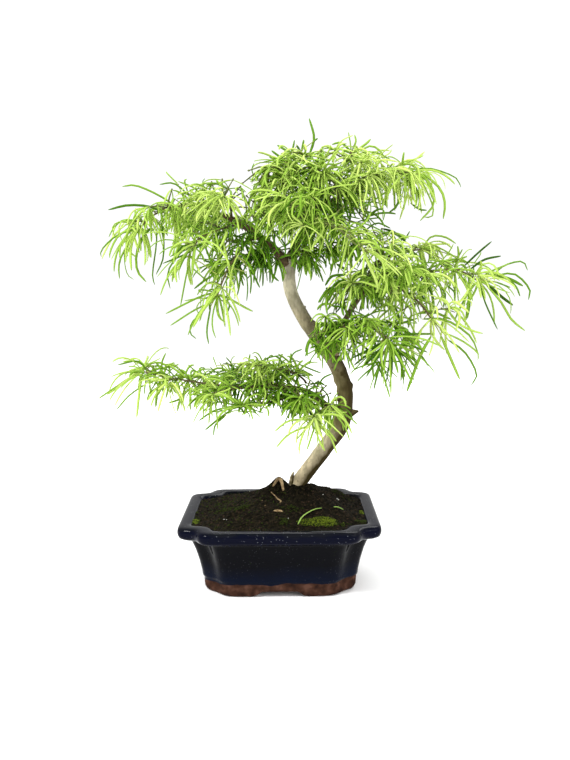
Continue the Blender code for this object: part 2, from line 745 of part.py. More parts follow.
def grow_needle(mass, rosette, index, out, shrink, chance):
    length = mass.plan["needle"] * rosette.size * shrink * chance.uniform(*NEEDLE_SPREAD)
    sag = chance.uniform(*NEEDLE_SAG) + HANG_SAG * mass.plan["hang"]
    root = rosette.place + out * HUB_RADIUS * HUB_FACE_DEPTH
    bend = needle_place(root, out, length, sag, NEEDLE_BEND)
    tip = needle_place(root, out, length, sag, 1.0)
    half = NEEDLE_SAMPLES // 2
    places = [root.lerp(bend, step / half) for step in range(half)]
    places += [bend.lerp(tip, step / half) for step in range(half + 1)]
    return {"face": index, "bend": bend, "tip": tip, "places": places}


def fits(needle, name, crowd, axes, bark, bark_tree):
    """Whether a needle clears the limbs, keeps to its mass's space and crosses no other needle."""
    for place in needle["places"][2:]:
        _, index, distance = bark_tree.find(place)
        if distance < bark[index][1] + LIMB_CLEARANCE:
            return False
        mine = axes[name].find(place)[2]
        if min(tree.find(place)[2] for tree in axes.values()) + SPACE_OVERLAP < mine:
            return False
    if not crowd.leaves_room(needle["places"][1:], name, 0.0):
        return False
    return crowd.leaves_room(needle["places"][NEEDLE_SAMPLES // 3 :], name)


# --- Foliage meshes ----------------------------------------------------------------------------
def rosette_mesh(rosette, name):
    """A hub whose chosen faces are drawn out into three-sided needles with one bend."""
    shape = bmesh.new()
    to_metres = Matrix.Diagonal((MM, MM, MM, 1))
    bmesh.ops.create_icosphere(shape, subdivisions=1, radius=HUB_RADIUS, matrix=rosette.matrix)
    faces = list(shape.faces)
    for needle in rosette.needles:
        face = faces[needle["face"]]
        middle = face.calc_center_median()
        face = bmesh.ops.extrude_discrete_faces(shape, faces=[face])["faces"][0]
        for vert in face.verts:
            vert.co = needle["bend"] + (vert.co - middle) * NEEDLE_THICKNESS
        face = bmesh.ops.extrude_discrete_faces(shape, faces=[face])["faces"][0]
        bmesh.ops.pointmerge(shape, verts=face.verts, merge_co=needle["tip"])
    bmesh.ops.transform(shape, verts=shape.verts, matrix=to_metres)
    bmesh.ops.recalc_face_normals(shape, faces=shape.faces)
    mesh = bpy.data.meshes.new(name)
    shape.to_mesh(mesh)
    shape.free()
    return mesh


def drop_scraps(mesh):
    """Keeps the largest body of a mesh, so a loose scrap or a sealed hollow is gone."""
    shape = bmesh.new()
    shape.from_mesh(mesh)
    bmesh.ops.triangulate(shape, faces=shape.faces)
    waiting = set(shape.faces)
    bodies = []
    while waiting:
        body = {waiting.pop()}
        edge_of_body = list(body)
        while edge_of_body:
            face = edge_of_body.pop()
            for edge in face.edges:
                for other in edge.link_faces:
                    if other in waiting:
                        waiting.remove(other)
                        body.add(other)
                        edge_of_body.append(other)
        bodies.append(body)
    largest = max(bodies, key=len)
    loose = [face for body in bodies if body is not largest for face in body]
    bmesh.ops.delete(shape, geom=loose, context="FACES")
    shape.to_mesh(mesh)
    shape.free()


def add_mass(mass, material, outline, collection):
    """The mass as one solid: its stem joined with its shoots and rosettes by one Boolean union."""
    pieces = bpy.data.collections.new(mass.name + "_pieces")
    bpy.context.scene.collection.children.link(pieces)
    mesh = tube_mesh(mass.name, mass.stem, outline=outline)
    stem = add_object(mass.name, mesh, material, collection)
    for index, shoot in enumerate(mass.shoots):
        name = f"{mass.name}_shoot_{index}"
        add_object(name, tube_mesh(name, shoot, outline=outline), material, pieces)
    for index, rosette in enumerate(mass.rosettes):
        name = f"{mass.name}_rosette_{index}"
        add_object(name, rosette_mesh(rosette, name), material, pieces)
    union = stem.modifiers.new("union", "BOOLEAN")
    union.operation = "UNION"
    union.operand_type = "COLLECTION"
    union.collection = pieces
    union.solver = UNION_SOLVER
    joined = evaluated_copy(stem, mass.name)
    stem.modifiers.clear()
    stem.data = joined
    for piece in list(pieces.objects):
        bpy.data.objects.remove(piece)
    bpy.data.collections.remove(pieces)
    drop_scraps(joined)


def centre_over_origin(collection, cutters):
    """Moves the plant, and the pot's cutters with it, so that its bounding box is over the origin."""
    pieces = list(collection.objects)
    whole = bpy.data.objects.new("golden_larch_bonsai", None)
    collection.objects.link(whole)
    corners = [Vector(corner) for piece in pieces for corner in piece.bound_box]
    for axis in range(2):
        values = [corner[axis] for corner in corners]
        whole.location[axis] = -(min(values) + max(values)) / 2
    for piece in (*pieces, *cutters.objects):
        piece.parent = whole


def main():
    for leftover in list(bpy.data.objects):
        bpy.data.objects.remove(leftover)
    collection = bpy.data.collections.new("golden_larch_bonsai")
    cutters = bpy.data.collections.new("cutters")
    for group in (collection, cutters):
        bpy.context.scene.collection.children.link(group)
    add_pot(collection, cutters)
    add_soil(collection)
    limbs = add_limbs(collection)
    masses, bark, crowd = plan_twigs(limbs)
    plan_needles(masses, bark, crowd)
    needle_green = principled("needles", (0.22, 0.48, 0.06), 0.5)
    outline = add_triangle_profile()
    for mass in masses:
        add_mass(mass, needle_green, outline, collection)
    bpy.data.objects.remove(outline)
    centre_over_origin(collection, cutters)


if __name__ == "__main__":
    main()
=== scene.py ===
"""The looks of the golden larch bonsai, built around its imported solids.

The tables are in millimetres from the pot's centre on the ground, as in the part's source, and
MM and SHIFT turn them into the frame's metres. Every mass of foliage grows by the source's rule
from the same seeds, and is carried on from there to finer twigs and many more needles.
"""

import itertools
import json
import math
import random

import bmesh
import bpy
import numpy as np
from mathutils import Matrix, Vector, noise
from mathutils.bvhtree import BVHTree
from mathutils.kdtree import KDTree

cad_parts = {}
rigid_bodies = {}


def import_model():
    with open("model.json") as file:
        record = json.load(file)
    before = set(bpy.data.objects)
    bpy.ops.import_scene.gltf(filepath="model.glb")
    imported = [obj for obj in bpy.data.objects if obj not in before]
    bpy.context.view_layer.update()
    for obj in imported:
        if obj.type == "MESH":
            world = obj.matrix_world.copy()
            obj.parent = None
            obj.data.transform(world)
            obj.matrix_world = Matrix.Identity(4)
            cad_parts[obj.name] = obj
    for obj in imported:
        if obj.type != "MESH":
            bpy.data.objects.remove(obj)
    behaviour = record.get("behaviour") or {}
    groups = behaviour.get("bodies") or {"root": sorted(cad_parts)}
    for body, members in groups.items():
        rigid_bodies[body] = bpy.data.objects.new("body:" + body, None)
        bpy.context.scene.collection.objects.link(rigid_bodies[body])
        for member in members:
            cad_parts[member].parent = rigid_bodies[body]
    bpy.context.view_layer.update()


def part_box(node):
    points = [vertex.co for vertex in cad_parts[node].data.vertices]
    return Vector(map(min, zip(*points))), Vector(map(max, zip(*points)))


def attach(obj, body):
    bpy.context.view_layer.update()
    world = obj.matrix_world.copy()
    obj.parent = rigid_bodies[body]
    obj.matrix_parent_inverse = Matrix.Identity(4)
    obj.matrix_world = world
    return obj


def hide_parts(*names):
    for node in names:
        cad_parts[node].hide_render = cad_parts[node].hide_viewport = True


MM = 0.001
GAP = 0.3
UP = Vector((0, 0, 1))
BODY = "root"

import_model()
POT_LOW, POT_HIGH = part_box("pot")
SHIFT = Vector(((POT_LOW.x + POT_HIGH.x) / 2, (POT_LOW.y + POT_HIGH.y) / 2, 0))

# --- The source's tables -------------------------------------------------------------------------
POT_HALF_WIDTH = 90.0
POT_HALF_DEPTH = 70.0
POT_HEIGHT = 65.5
NOTCH_AT_RIM = (20.0, 14.0)
NOTCH_AT_FOOT = (15.5, 13.0)
EAR_RADIUS = 6.0
LEAST_EAR_RADIUS = 3.5
EAR_TIGHTENING = 0.125
NOTCH_RADIUS = 8.0
NOTCH_TIGHTENING = 1.5
CORNER_STEPS = 8
POT_SECTIONS = (
    (27.0, 12.0), (18.0, 54.0), (10.4, 65.1), (9.0, 65.5), (2.6, 65.5), (0.8, 64.7),
    (0.0, 62.7), (0.0, 58.6), (0.9, 56.2), (3.2, 54.4), (6.8, 53.4), (9.6, 52.0),
    (13.6, 41.0), (16.4, 29.5), (18.4, 18.0), (18.8, 14.4), (19.8, 13.0), (20.4, 3.5),
    (21.4, 1.0), (22.8, 0.0),
)
FRONT_GAP = (16.0, 24.0, 5.5)
SIDE_GAP = (8.0, 14.0, 5.0)
FOOT_RING_WIDTH = 12.0
FOOT_RING_HEIGHT = 6.0
BELOW_GROUND = 1.0
MOUND_CENTRE = Vector((16.0, 12.0, 80.0))
MOUND_RADIUS = 15.5
TRUNK_ROUTE = (
    (15, 12, 80.3), (20, 12, 90), (31, 12, 105), (46, 11, 125), (58, 10, 143), (62, 8, 160),
    (61, 5, 180), (53, 3, 202), (38, 1, 224), (23, 0, 246), (13, 1, 267), (11, 2, 284),
    (13, 3, 297),
)
TRUNK_RADII = (7.8, 7.5, 7.4, 7.3, 7.9, 7.0, 7.1, 6.9, 6.6, 6.2, 5.8, 5.6, 5.4)
FLARE_HEIGHT = 13.0
FLARE_SPREAD = 5.0
ROOT_LOBES = 5
ROOT_LOBE_DEPTH = 0.35
ROOT_LOBE_TURN = 0.8
BOUGHS = {
    "left_bough": dict(
        limb="trunk", at=0.965,
        route=((-4, -4, 309), (-20, -8, 321), (-34, -10, 330), (-48, -12, 337)),
        radii=(3.7, 3.4, 3.0, 2.6, 2.2),
    ),
    "crown_bough": dict(
        limb="trunk", at=1.0,
        route=((16, 4, 305), (22, 6, 318), (32, 7, 333), (42, 7, 346)),
        radii=(4.7, 4.3, 3.7, 3.2, 2.6),
    ),
    "lower_left_bough": dict(
        limb="trunk", at=0.372,
        route=((45, 0, 163), (32, -6, 175), (14, -11, 182), (-8, -13, 183), (-30, -13, 184)),
        radii=(3.3, 3.0, 2.8, 2.5, 2.2, 1.9),
    ),
    "right_bough": dict(
        limb="trunk", at=0.575,
        route=((53, -7, 226), (59, -12, 240), (67, -13, 254), (76, -10, 266), (88, -3, 275)),
        radii=(3.0, 2.8, 2.6, 2.4, 2.1, 1.8),
    ),
}
MASS_KEYS = ("limb", "at", "route", "shoots", "reach", "needle", "hang", "tip")
MASSES = {
    name: dict(zip(MASS_KEYS, plan))
    for name, *plan in (
        ("lower_left_tip", "lower_left_bough", 1.0,
         ((-57, -12, 186), (-90, -9, 191), (-123, -6, 198)), 3, 20, 27, 0.25, 1.65),
        ("lower_left_middle", "lower_left_bough", 0.84,
         ((-34, -28, 185), (-52, -38, 184)), 2, 18, 27, 0.35, 1.0),
        ("lower_left_front", "lower_left_bough", 0.46,
         ((2, -26, 174), (-33, -40, 170)), 2, 16, 26, 0.2, 1.1),
        ("lower_left_top", "lower_left_bough", 0.28,
         ((22, -10, 191), (9, -16, 199), (-12, -18, 201)), 2, 22, 26, 0.0, 1.0),
        ("lower_left_inner", "lower_left_bough", 0.22,
         ((32, -20, 174), (17, -30, 174)), 2, 18, 26, 0.3, 1.0),
        ("lower_left_back", "lower_left_bough", 0.54,
         ((-14, 12, 186), (-46, 34, 190)), 3, 26, 29, 0.2, 1.0),
        ("low_front_sprig", "trunk", 0.352, ((43, -20, 166), (32, -38, 161)), 1, 12, 32, 0.15, 1.1),
        ("middle_left", "trunk", 0.605, ((44, -18, 236), (42, -32, 247)), 1, 14, 26, 0.5, 1.0),
        ("middle_front", "right_bough", 0.22,
         ((54, -26, 240), (60, -46, 238)), 2, 18, 28, 0.5, 1.0),
        ("middle_right", "right_bough", 0.48,
         ((76, -32, 241), (88, -46, 234), (95, -50, 226)), 3, 18, 41, 0.3, 1.05),
        ("right_inner", "right_bough", 0.80, ((80, -30, 276), (90, -44, 284)), 2, 20, 32, 0.5, 1.0),
        ("right_arm", "right_bough", 1.0,
         ((112, 5, 279), (140, 8, 285), (165, 6, 286), (181, 0, 276)), 3, 24, 40, 0.25, 1.15),
        ("right_top", "right_bough", 0.82,
         ((86, 8, 290), (106, 12, 301), (131, 14, 305)), 2, 22, 34, 0.45, 1.0),
        ("right_hanging", "right_bough", 0.88,
         ((106, -24, 271), (122, -36, 259), (131, -45, 245)), 2, 22, 38, 0.5, 1.0),
        ("right_back", "right_bough", 0.70, ((90, 24, 276), (116, 52, 284)), 3, 28, 34, 0.4, 1.0),
        ("left_tip", "left_bough", 1.0,
         ((-66, -15, 343), (-96, -19, 342), (-117, -22, 326)), 3, 22, 37, 0.65, 1.0),
        ("left_top", "left_bough", 0.84, ((-40, -24, 345), (-50, -34, 348)), 2, 24, 34, 0.4, 1.0),
        ("left_front", "left_bough", 0.72,
         ((-50, -34, 322), (-64, -46, 314), (-72, -52, 300)), 2, 20, 40, 0.6, 1.0),
        ("left_hanging", "left_bough", 0.45,
         ((-28, -32, 308), (-40, -44, 290), (-49, -50, 268)), 2, 22, 40, 0.55, 1.1),
        ("left_back", "left_bough", 0.66, ((-48, 24, 336), (-84, 46, 338)), 3, 30, 38, 0.5, 1.0),
        ("crown_front", "crown_bough", 0.42, ((20, -24, 334), (12, -54, 344)), 2, 26, 40, 0.5, 1.0),
        ("crown_left", "crown_bough", 0.66,
         ((12, -4, 346), (7, -8, 362), (8, -12, 377)), 3, 24, 30, 0.3, 1.0),
        ("crown_middle", "crown_bough", 0.80, ((34, -8, 362), (27, -14, 385)), 3, 24, 38, 0.0, 1.2),
        ("apex", "crown_bough", 1.0,
         ((50, 5, 357), (58, 1, 371), (67, 0, 387)), 4, 25, 31, 0.35, 1.0),
        ("apex_right", "crown_bough", 0.90,
         ((70, 4, 360), (98, 0, 374), (117, -8, 366)), 3, 24, 38, 0.55, 1.1),
        ("crown_back", "crown_bough", 0.58, ((24, 34, 346), (16, 64, 354)), 3, 30, 38, 0.4, 1.0),
        ("cascade", "crown_bough", 0.25,
         ((38, -30, 328), (56, -52, 321), (73, -70, 302)), 2, 26, 36, 0.5, 1.1),
        ("under_left", "left_bough", 0.20, ((-16, 6, 299), (-34, 10, 294)), 2, 20, 30, 0.4, 1.0),
        ("under_right", "trunk", 0.965, ((30, -8, 303), (50, -18, 306)), 2, 20, 30, 0.4, 1.0),
    )
}
STEM_RADII = (1.5, 0.9)
SHOOT_RADII = (1.0, 0.7)
FIRST_SHOOT = 0.32
LAST_SHOOT = 0.92
SHOOT_ANGLE = (48, 72)
SHOOT_RISE = (0.0, 0.45)
SHOOT_SPREAD = (0.85, 1.15)
SHOOT_BEND = 0.55
SHOOT_DROOP = 0.12
SHOOT_CLEARANCE = 4.0
BARE_STEM = 0.30
SPUR_SPACING = 23.0
SPUR_STEP = 0.8
SPUR_LEAN = 0.8
SPUR_RISE = (-0.2, 0.9)
SPUR_SIZE = 0.85
HUB_RADIUS = 2.1
HUB_FACE_DEPTH = 0.8
HUB_CLEARANCE = 0.8
HUB_POINTS = [Vector(p) for p in itertools.product((-1, 0, 1), repeat=3) if Vector(p).length <= 1]
NEEDLE_BEND = 0.5
NEEDLE_SPREAD = (0.86, 1.12)
NEEDLE_SHRINKS = (1.0, 0.9, 0.8, 0.65)
NEEDLE_SAG = (0.04, 0.34)
HANG_SAG = 0.4
HANG_SHADE = 0.6
LEAST_AT_TIP = -0.55
MOST_ALONG_STEM = 0.75
LEAST_AT_SPUR = -0.45
NEEDLE_SAMPLES = 12
LIMB_SAMPLE_SPACING = 4.0
TWIG_SAMPLE_SPACING = 3.0
AXIS_SAMPLE_SPACING = 6.0
LIMB_CLEARANCE = 2.5
SAME_MASS_CLEARANCE = 2.2
OTHER_MASS_CLEARANCE = 3.6
NEIGHBOURS = list(itertools.product((-1, 0, 1), repeat=3))
SPACE_OVERLAP = 7.0
NEEDLE_BUDGET = 725
MOST_NEEDLES = 8.0


# --- The source's rule ---------------------------------------------------------------------------
def smooth_path(points, steps):
    """A Catmull-Rom curve through the points."""
    points = [Vector(point) for point in points]
    around = [2 * points[0] - points[1], *points, 2 * points[-1] - points[-2]]
    path = []
    for before, start, end, after in zip(around, around[1:], around[2:], around[3:]):
        for step in range(steps):
            t = step / steps
            bend = (2 * before - 5 * start + 4 * end - after) * t**2
            twist = (3 * start - before - 3 * end + after) * t**3
            path.append((2 * start + (end - before) * t + bend + twist) / 2)
    return [*path, points[-1]]


def shared_out(values, count):
    """As many values as asked for, read evenly off straight lines between a list's entries."""
    found = []
    for step in range(count):
        place = step / (count - 1) * (len(values) - 1)
        low = min(int(place), len(values) - 2)
        found.append(values[low] + (values[low + 1] - values[low]) * (place - low))
    return found


class Limb:
    """A tapering limb, stem or shoot: the path of its middle, and its radius at each point."""

    def __init__(self, start, route, radii, steps=3):
        """Start is one point, or two where the limb first runs straight on from another's tip."""
        self.path = [*start[:-1], *smooth_path([start[-1], *route], steps)]
        self.radii = shared_out(radii, len(self.path))
        self.reach = [0.0]
        for start, end in zip(self.path, self.path[1:]):
            self.reach.append(self.reach[-1] + (end - start).length)
        self.length = self.reach[-1]

    def at(self, share):
        """The place, direction and radius at a share of the limb's length."""
        wanted = share * self.length
        index = 0
        while index < len(self.path) - 2 and self.reach[index + 1] < wanted:
            index += 1
        start, end = self.path[index], self.path[index + 1]
        part = (wanted - self.reach[index]) / (self.reach[index + 1] - self.reach[index])
        radius = self.radii[index] + (self.radii[index + 1] - self.radii[index]) * part
        return start.lerp(end, part), (end - start).normalized(), radius

    def samples(self, spacing):
        count = max(2, round(self.length / spacing) + 1)
        return [self.at(step / (count - 1)) for step in range(count)]

    def places(self, spacing):
        return [place for place, _, _ in self.samples(spacing)]


def leaving(limb, share, towards, radius):
    """The first points of a thinner limb, whose flat end stays clear of the limb that bears it."""
    place, along, limb_radius = limb.at(share)
    if share == 1.0:
        return [place + along * GAP, place + along * (GAP + radius)]
    away = (Vector(towards) - place).normalized()
    cosine = abs(away.dot(along))
    sine = math.sqrt(1 - cosine**2)
    return [place + away * (limb_radius + GAP + radius * cosine) / sine]


def pot_outline(inset, height):
    """The pot's outline at one level, counterclockwise: a rectangle whose corners step in."""
    low = 1 - min(max(height / POT_HEIGHT, 0), 1)
    notch_x, notch_y = (
        rim + (foot - rim) * low for rim, foot in zip(NOTCH_AT_RIM, NOTCH_AT_FOOT)
    )
    half_x = POT_HALF_WIDTH - inset
    half_y = POT_HALF_DEPTH - inset
    ear = max(EAR_RADIUS - inset * EAR_TIGHTENING, LEAST_EAR_RADIUS)
    hollow = NOTCH_RADIUS - low * NOTCH_TIGHTENING
    corners = (
        (Vector((half_x, half_y - notch_y)), Vector((0, -1)), Vector((-1, 0)), ear),
        (Vector((half_x - notch_x, half_y - notch_y)), Vector((1, 0)), Vector((0, 1)), hollow),
        (Vector((half_x - notch_x, half_y)), Vector((0, -1)), Vector((-1, 0)), ear),
    )
    quarter = []
    for corner, back, ahead, radius in corners:
        centre = corner + (back + ahead) * radius
        for step in range(CORNER_STEPS + 1):
            angle = math.pi / 2 * step / CORNER_STEPS
            quarter.append(centre - (ahead * math.cos(angle) + back * math.sin(angle)) * radius)
    points = []
    for sign_x, sign_y, order in ((1, 1, 1), (-1, 1, -1), (-1, -1, 1), (1, -1, -1)):
        points += [Vector((p.x * sign_x, p.y * sign_y, height)) for p in quarter[::order]]
    return points


def add_gap_cutter(name, half_top, half_ground, height, half_length, turn, collection):
    """A prism that is wider at the ground than at its top. It runs along Y, or as far turned."""
    shape = bmesh.new()
    bmesh.ops.create_cube(shape, size=2)
    for vert in shape.verts:
        top = vert.co.z > 0
        widening = (half_ground - half_top) * BELOW_GROUND / height
        vert.co.x *= (half_top if top else half_ground + widening) * MM
        vert.co.y *= half_length * MM
        vert.co.z = (height if top else -BELOW_GROUND) * MM
    bmesh.ops.rotate(shape, verts=shape.verts, matrix=Matrix.Rotation(turn, 3, "Z"))
    mesh = bpy.data.meshes.new(name)
    shape.to_mesh(mesh)
    shape.free()
    cutter = bpy.data.objects.new(name, mesh)
    collection.objects.link(cutter)


def plan_limbs():
    limbs = {"trunk": Limb(TRUNK_ROUTE[:1], TRUNK_ROUTE[1:], TRUNK_RADII)}
    for name, bough in BOUGHS.items():
        start = leaving(limbs[bough["limb"]], bough["at"], bough["route"][0], bough["radii"][0])
        limbs[name] = Limb(start, bough["route"], bough["radii"])
    return limbs


class Rosette:
    """A hub on a twig with needles standing out of its faces."""

    def __init__(self, place, axis, twig, size, at_tip, spin):
        self.place = place
        self.axis = axis
        self.twig = twig
        self.size = size
        self.at_tip = at_tip
        turn = axis.to_track_quat("Z", "Y").to_matrix() @ Matrix.Rotation(spin, 3, "Z")
        self.matrix = Matrix.Translation(place) @ turn.to_4x4()
        self.needles = []


class Mass:
    """The twigs and rosettes of one mass of foliage, before any mesh is made."""

    def __init__(self, name, plan, limbs):
        self.name = name
        self.plan = plan
        self.random = random.Random(name)
        start = leaving(limbs[plan["limb"]], plan["at"], plan["route"][0], STEM_RADII[0])
        self.stem = Limb(start, plan["route"], STEM_RADII, steps=2)
        self.shoots = []
        self.rosettes = []

    def side_shoot(self, index):
        """The shoots leave the stem by turns to its two sides, each a little up and then over."""
        share = FIRST_SHOOT + (LAST_SHOOT - FIRST_SHOOT) * index / max(self.plan["shoots"] - 1, 1)
        place, along, _ = self.stem.at(share)
        turn = math.radians(self.random.uniform(*SHOOT_ANGLE)) * (1 if index % 2 else -1)
        level = Vector((along.x, along.y, 0)).normalized()
        rise = self.random.uniform(*SHOOT_RISE)
        out = (Matrix.Rotation(turn, 3, "Z") @ level + UP * rise).normalized()
        length = self.plan["reach"] * self.random.uniform(*SHOOT_SPREAD)
        middle = place + out * length * SHOOT_BEND
        end = place + out * length - UP * length * SHOOT_DROOP
        return Limb([place], (middle, end), SHOOT_RADII, steps=1)

    def add_rosette(self, place, axis, along, size, at_tip):
        spin = self.random.uniform(0, math.tau)
        self.rosettes.append(Rosette(place, axis, along, size, at_tip, spin))

    def place_rosettes(self):
        """One at every tip, and more at even steps along the stem, on alternate sides."""
        for twig in (self.stem, *self.shoots):
            place, along, _ = twig.at(1.0)
            size = self.plan["tip"] if twig is self.stem else 1.0
            self.add_rosette(place, along, along, size, True)
        bare = BARE_STEM * self.stem.length
        for index in range(int((self.stem.length - bare) / SPUR_SPACING)):
            place, along, _ = self.stem.at((bare + SPUR_SPACING * index) / self.stem.length)
            across = along.cross(UP).normalized() * (1 if index % 2 else -1)
            out = (across * SPUR_LEAN + UP * self.random.uniform(*SPUR_RISE)).normalized()
            self.add_rosette(place + out * SPUR_STEP, out, along, SPUR_SIZE, False)


class Crowd:
    """The places already taken, kept in cubes so that the near ones are found quickly."""

    def __init__(self):
        self.cubes = {}

    @staticmethod
    def cube(place):
        return tuple(math.floor(value / OTHER_MASS_CLEARANCE) for value in place)

    def add(self, places, owner):
        for place in places:
            self.cubes.setdefault(self.cube(place), []).append((place, owner))

    def leaves_room(self, places, owner, from_own=SAME_MASS_CLEARANCE):
        for place in places:
            x, y, z = self.cube(place)
            for i, j, k in NEIGHBOURS:
                for other, its_owner in self.cubes.get((x + i, y + j, z + k), ()):
                    least = from_own if its_owner == owner else OTHER_MASS_CLEARANCE
                    if (place - other).length < least:
                        return False
        return True


def tree_of(places):
    tree = KDTree(len(places))
    for index, place in enumerate(places):
        tree.insert(place, index)
    tree.balance()
    return tree


def hub_faces():
    """The middle of each face of a hub of radius 1."""
    shape = bmesh.new()
    bmesh.ops.create_icosphere(shape, subdivisions=1, radius=1)
    middles = [face.calc_center_median() for face in shape.faces]
    shape.free()
    return middles


def needle_place(root, out, length, sag, share):
    """A point of a needle that sets out straight and then bends down under its own weight."""
    return root + (out * share - UP * sag * share**2) * length


def plan_twigs(limbs):
    """Each mass's stem, side shoots and rosettes. A shoot that would touch another is left out."""
    masses = [Mass(name, plan, limbs) for name, plan in MASSES.items()]
    bark = []
    for limb in limbs.values():
        bark += [(place, radius) for place, _, radius in limb.samples(LIMB_SAMPLE_SPACING)]
    twigs = Crowd()
    for mass in masses:
        twigs.add(mass.stem.places(TWIG_SAMPLE_SPACING), mass.name)
    for mass in masses:
        for index in range(mass.plan["shoots"]):
            shoot = mass.side_shoot(index)
            outer = shoot.places(TWIG_SAMPLE_SPACING)[2:]
            off_bark = all((p - b).length > r + SHOOT_CLEARANCE for p in outer for b, r in bark)
            if off_bark and twigs.leaves_room(outer, mass.name, 0.0):
                mass.shoots.append(shoot)
                twigs.add(outer, mass.name)
        mass.place_rosettes()
    return masses, bark, twigs


def plan_needles(masses, bark, crowd):
    """The needles of every rosette, dealt out so that no mass takes its neighbour's room."""
    faces = hub_faces()
    bark_tree = tree_of([place for place, _ in bark])
    axes = {}
    for mass in masses:
        twigs = (mass.stem, *mass.shoots)
        axes[mass.name] = tree_of([p for twig in twigs for p in twig.places(AXIS_SAMPLE_SPACING)])
    keep_clear_rosettes(masses, bark, bark_tree, crowd)
    dealt = [(mass, rosette) for mass in masses for rosette in mass.rosettes]
    chance = random.Random("needles")
    chance.shuffle(dealt)
    dealt.sort(key=lambda pair: not pair[1].at_tip)
    left = 0.0
    for mass, rosette in dealt:
        left = min(left + NEEDLE_BUDGET / len(dealt), MOST_NEEDLES)
        turn = rosette.matrix.to_3x3()
        outs = [(turn @ middle).normalized() for middle in faces]
        outs = [out for out in outs if opens(rosette, out, mass.plan["hang"])]
        chance.shuffle(outs)
        for out in outs:
            if left < 1:
                break
            for shrink in NEEDLE_SHRINKS:
                needle = grow_needle(mass, rosette, out, shrink, chance)
                if fits(needle, mass.name, crowd, axes, bark, bark_tree):
                    rosette.needles.append(needle)
                    crowd.add(needle["places"][1:], mass.name)
                    left -= 1
                    break


def keep_clear_rosettes(masses, bark, bark_tree, crowd):
    """Drops a rosette whose hub would touch a limb or another mass."""
    for mass in masses:
        kept = []
        for rosette in mass.rosettes:
            _, index, distance = bark_tree.find(rosette.place)
            hub = [rosette.place + step * HUB_RADIUS for step in HUB_POINTS]
            off_bark = distance > bark[index][1] + HUB_RADIUS + HUB_CLEARANCE
            if off_bark and crowd.leaves_room(hub, mass.name, 0.0):
                crowd.add(hub, mass.name)
                kept.append(rosette)
        mass.rosettes = kept


def opens(rosette, out, hang):
    """Whether a hub's face looks away from the twig through the hub, and not too far up."""
    along = out.dot(rosette.twig)
    if out.z > 1.0 - HANG_SHADE * hang:
        return False
    if rosette.at_tip:
        return along > LEAST_AT_TIP
    return abs(along) < MOST_ALONG_STEM and out.dot(rosette.axis) > LEAST_AT_SPUR


def grow_needle(mass, rosette, out, shrink, chance):
    length = mass.plan["needle"] * rosette.size * shrink * chance.uniform(*NEEDLE_SPREAD)
    sag = chance.uniform(*NEEDLE_SAG) + HANG_SAG * mass.plan["hang"]
    root = rosette.place + out * HUB_RADIUS * HUB_FACE_DEPTH
    bend = needle_place(root, out, length, sag, NEEDLE_BEND)
    tip = needle_place(root, out, length, sag, 1.0)
    half = NEEDLE_SAMPLES // 2
    places = [root.lerp(bend, step / half) for step in range(half)]
    places += [bend.lerp(tip, step / half) for step in range(half + 1)]
    return {"out": out, "length": length, "sag": sag, "places": places}


def fits(needle, name, crowd, axes, bark, bark_tree):
    """Whether a needle clears the limbs, keeps to its mass's space and crosses no other needle."""
    for place in needle["places"][2:]:
        _, index, distance = bark_tree.find(place)
        if distance < bark[index][1] + LIMB_CLEARANCE:
            return False
        mine = axes[name].find(place)[2]
        if min(tree.find(place)[2] for tree in axes.values()) + SPACE_OVERLAP < mine:
            return False
    if not crowd.leaves_room(needle["places"][1:], name, 0.0):
        return False
    return crowd.leaves_room(needle["places"][NEEDLE_SAMPLES // 3 :], name)


# --- Looks ---------------------------------------------------------------------------------------
# Needle greens from palest to darkest, as plain base colours that are dealt out by spray.
GREENS = {
    "lime": (0.490, 0.635, 0.148), "yellow": (0.362, 0.518, 0.088),
    "bright": (0.256, 0.412, 0.052), "leaf": (0.171, 0.316, 0.026),
    "grass": (0.103, 0.226, 0.012), "deep": (0.059, 0.150, 0.006),
    "dark": (0.034, 0.097, 0.004), "shade": (0.018, 0.056, 0.002),
}
NEEDLE_GLOSS = (0.5, 0.045)  # roughness and specular level
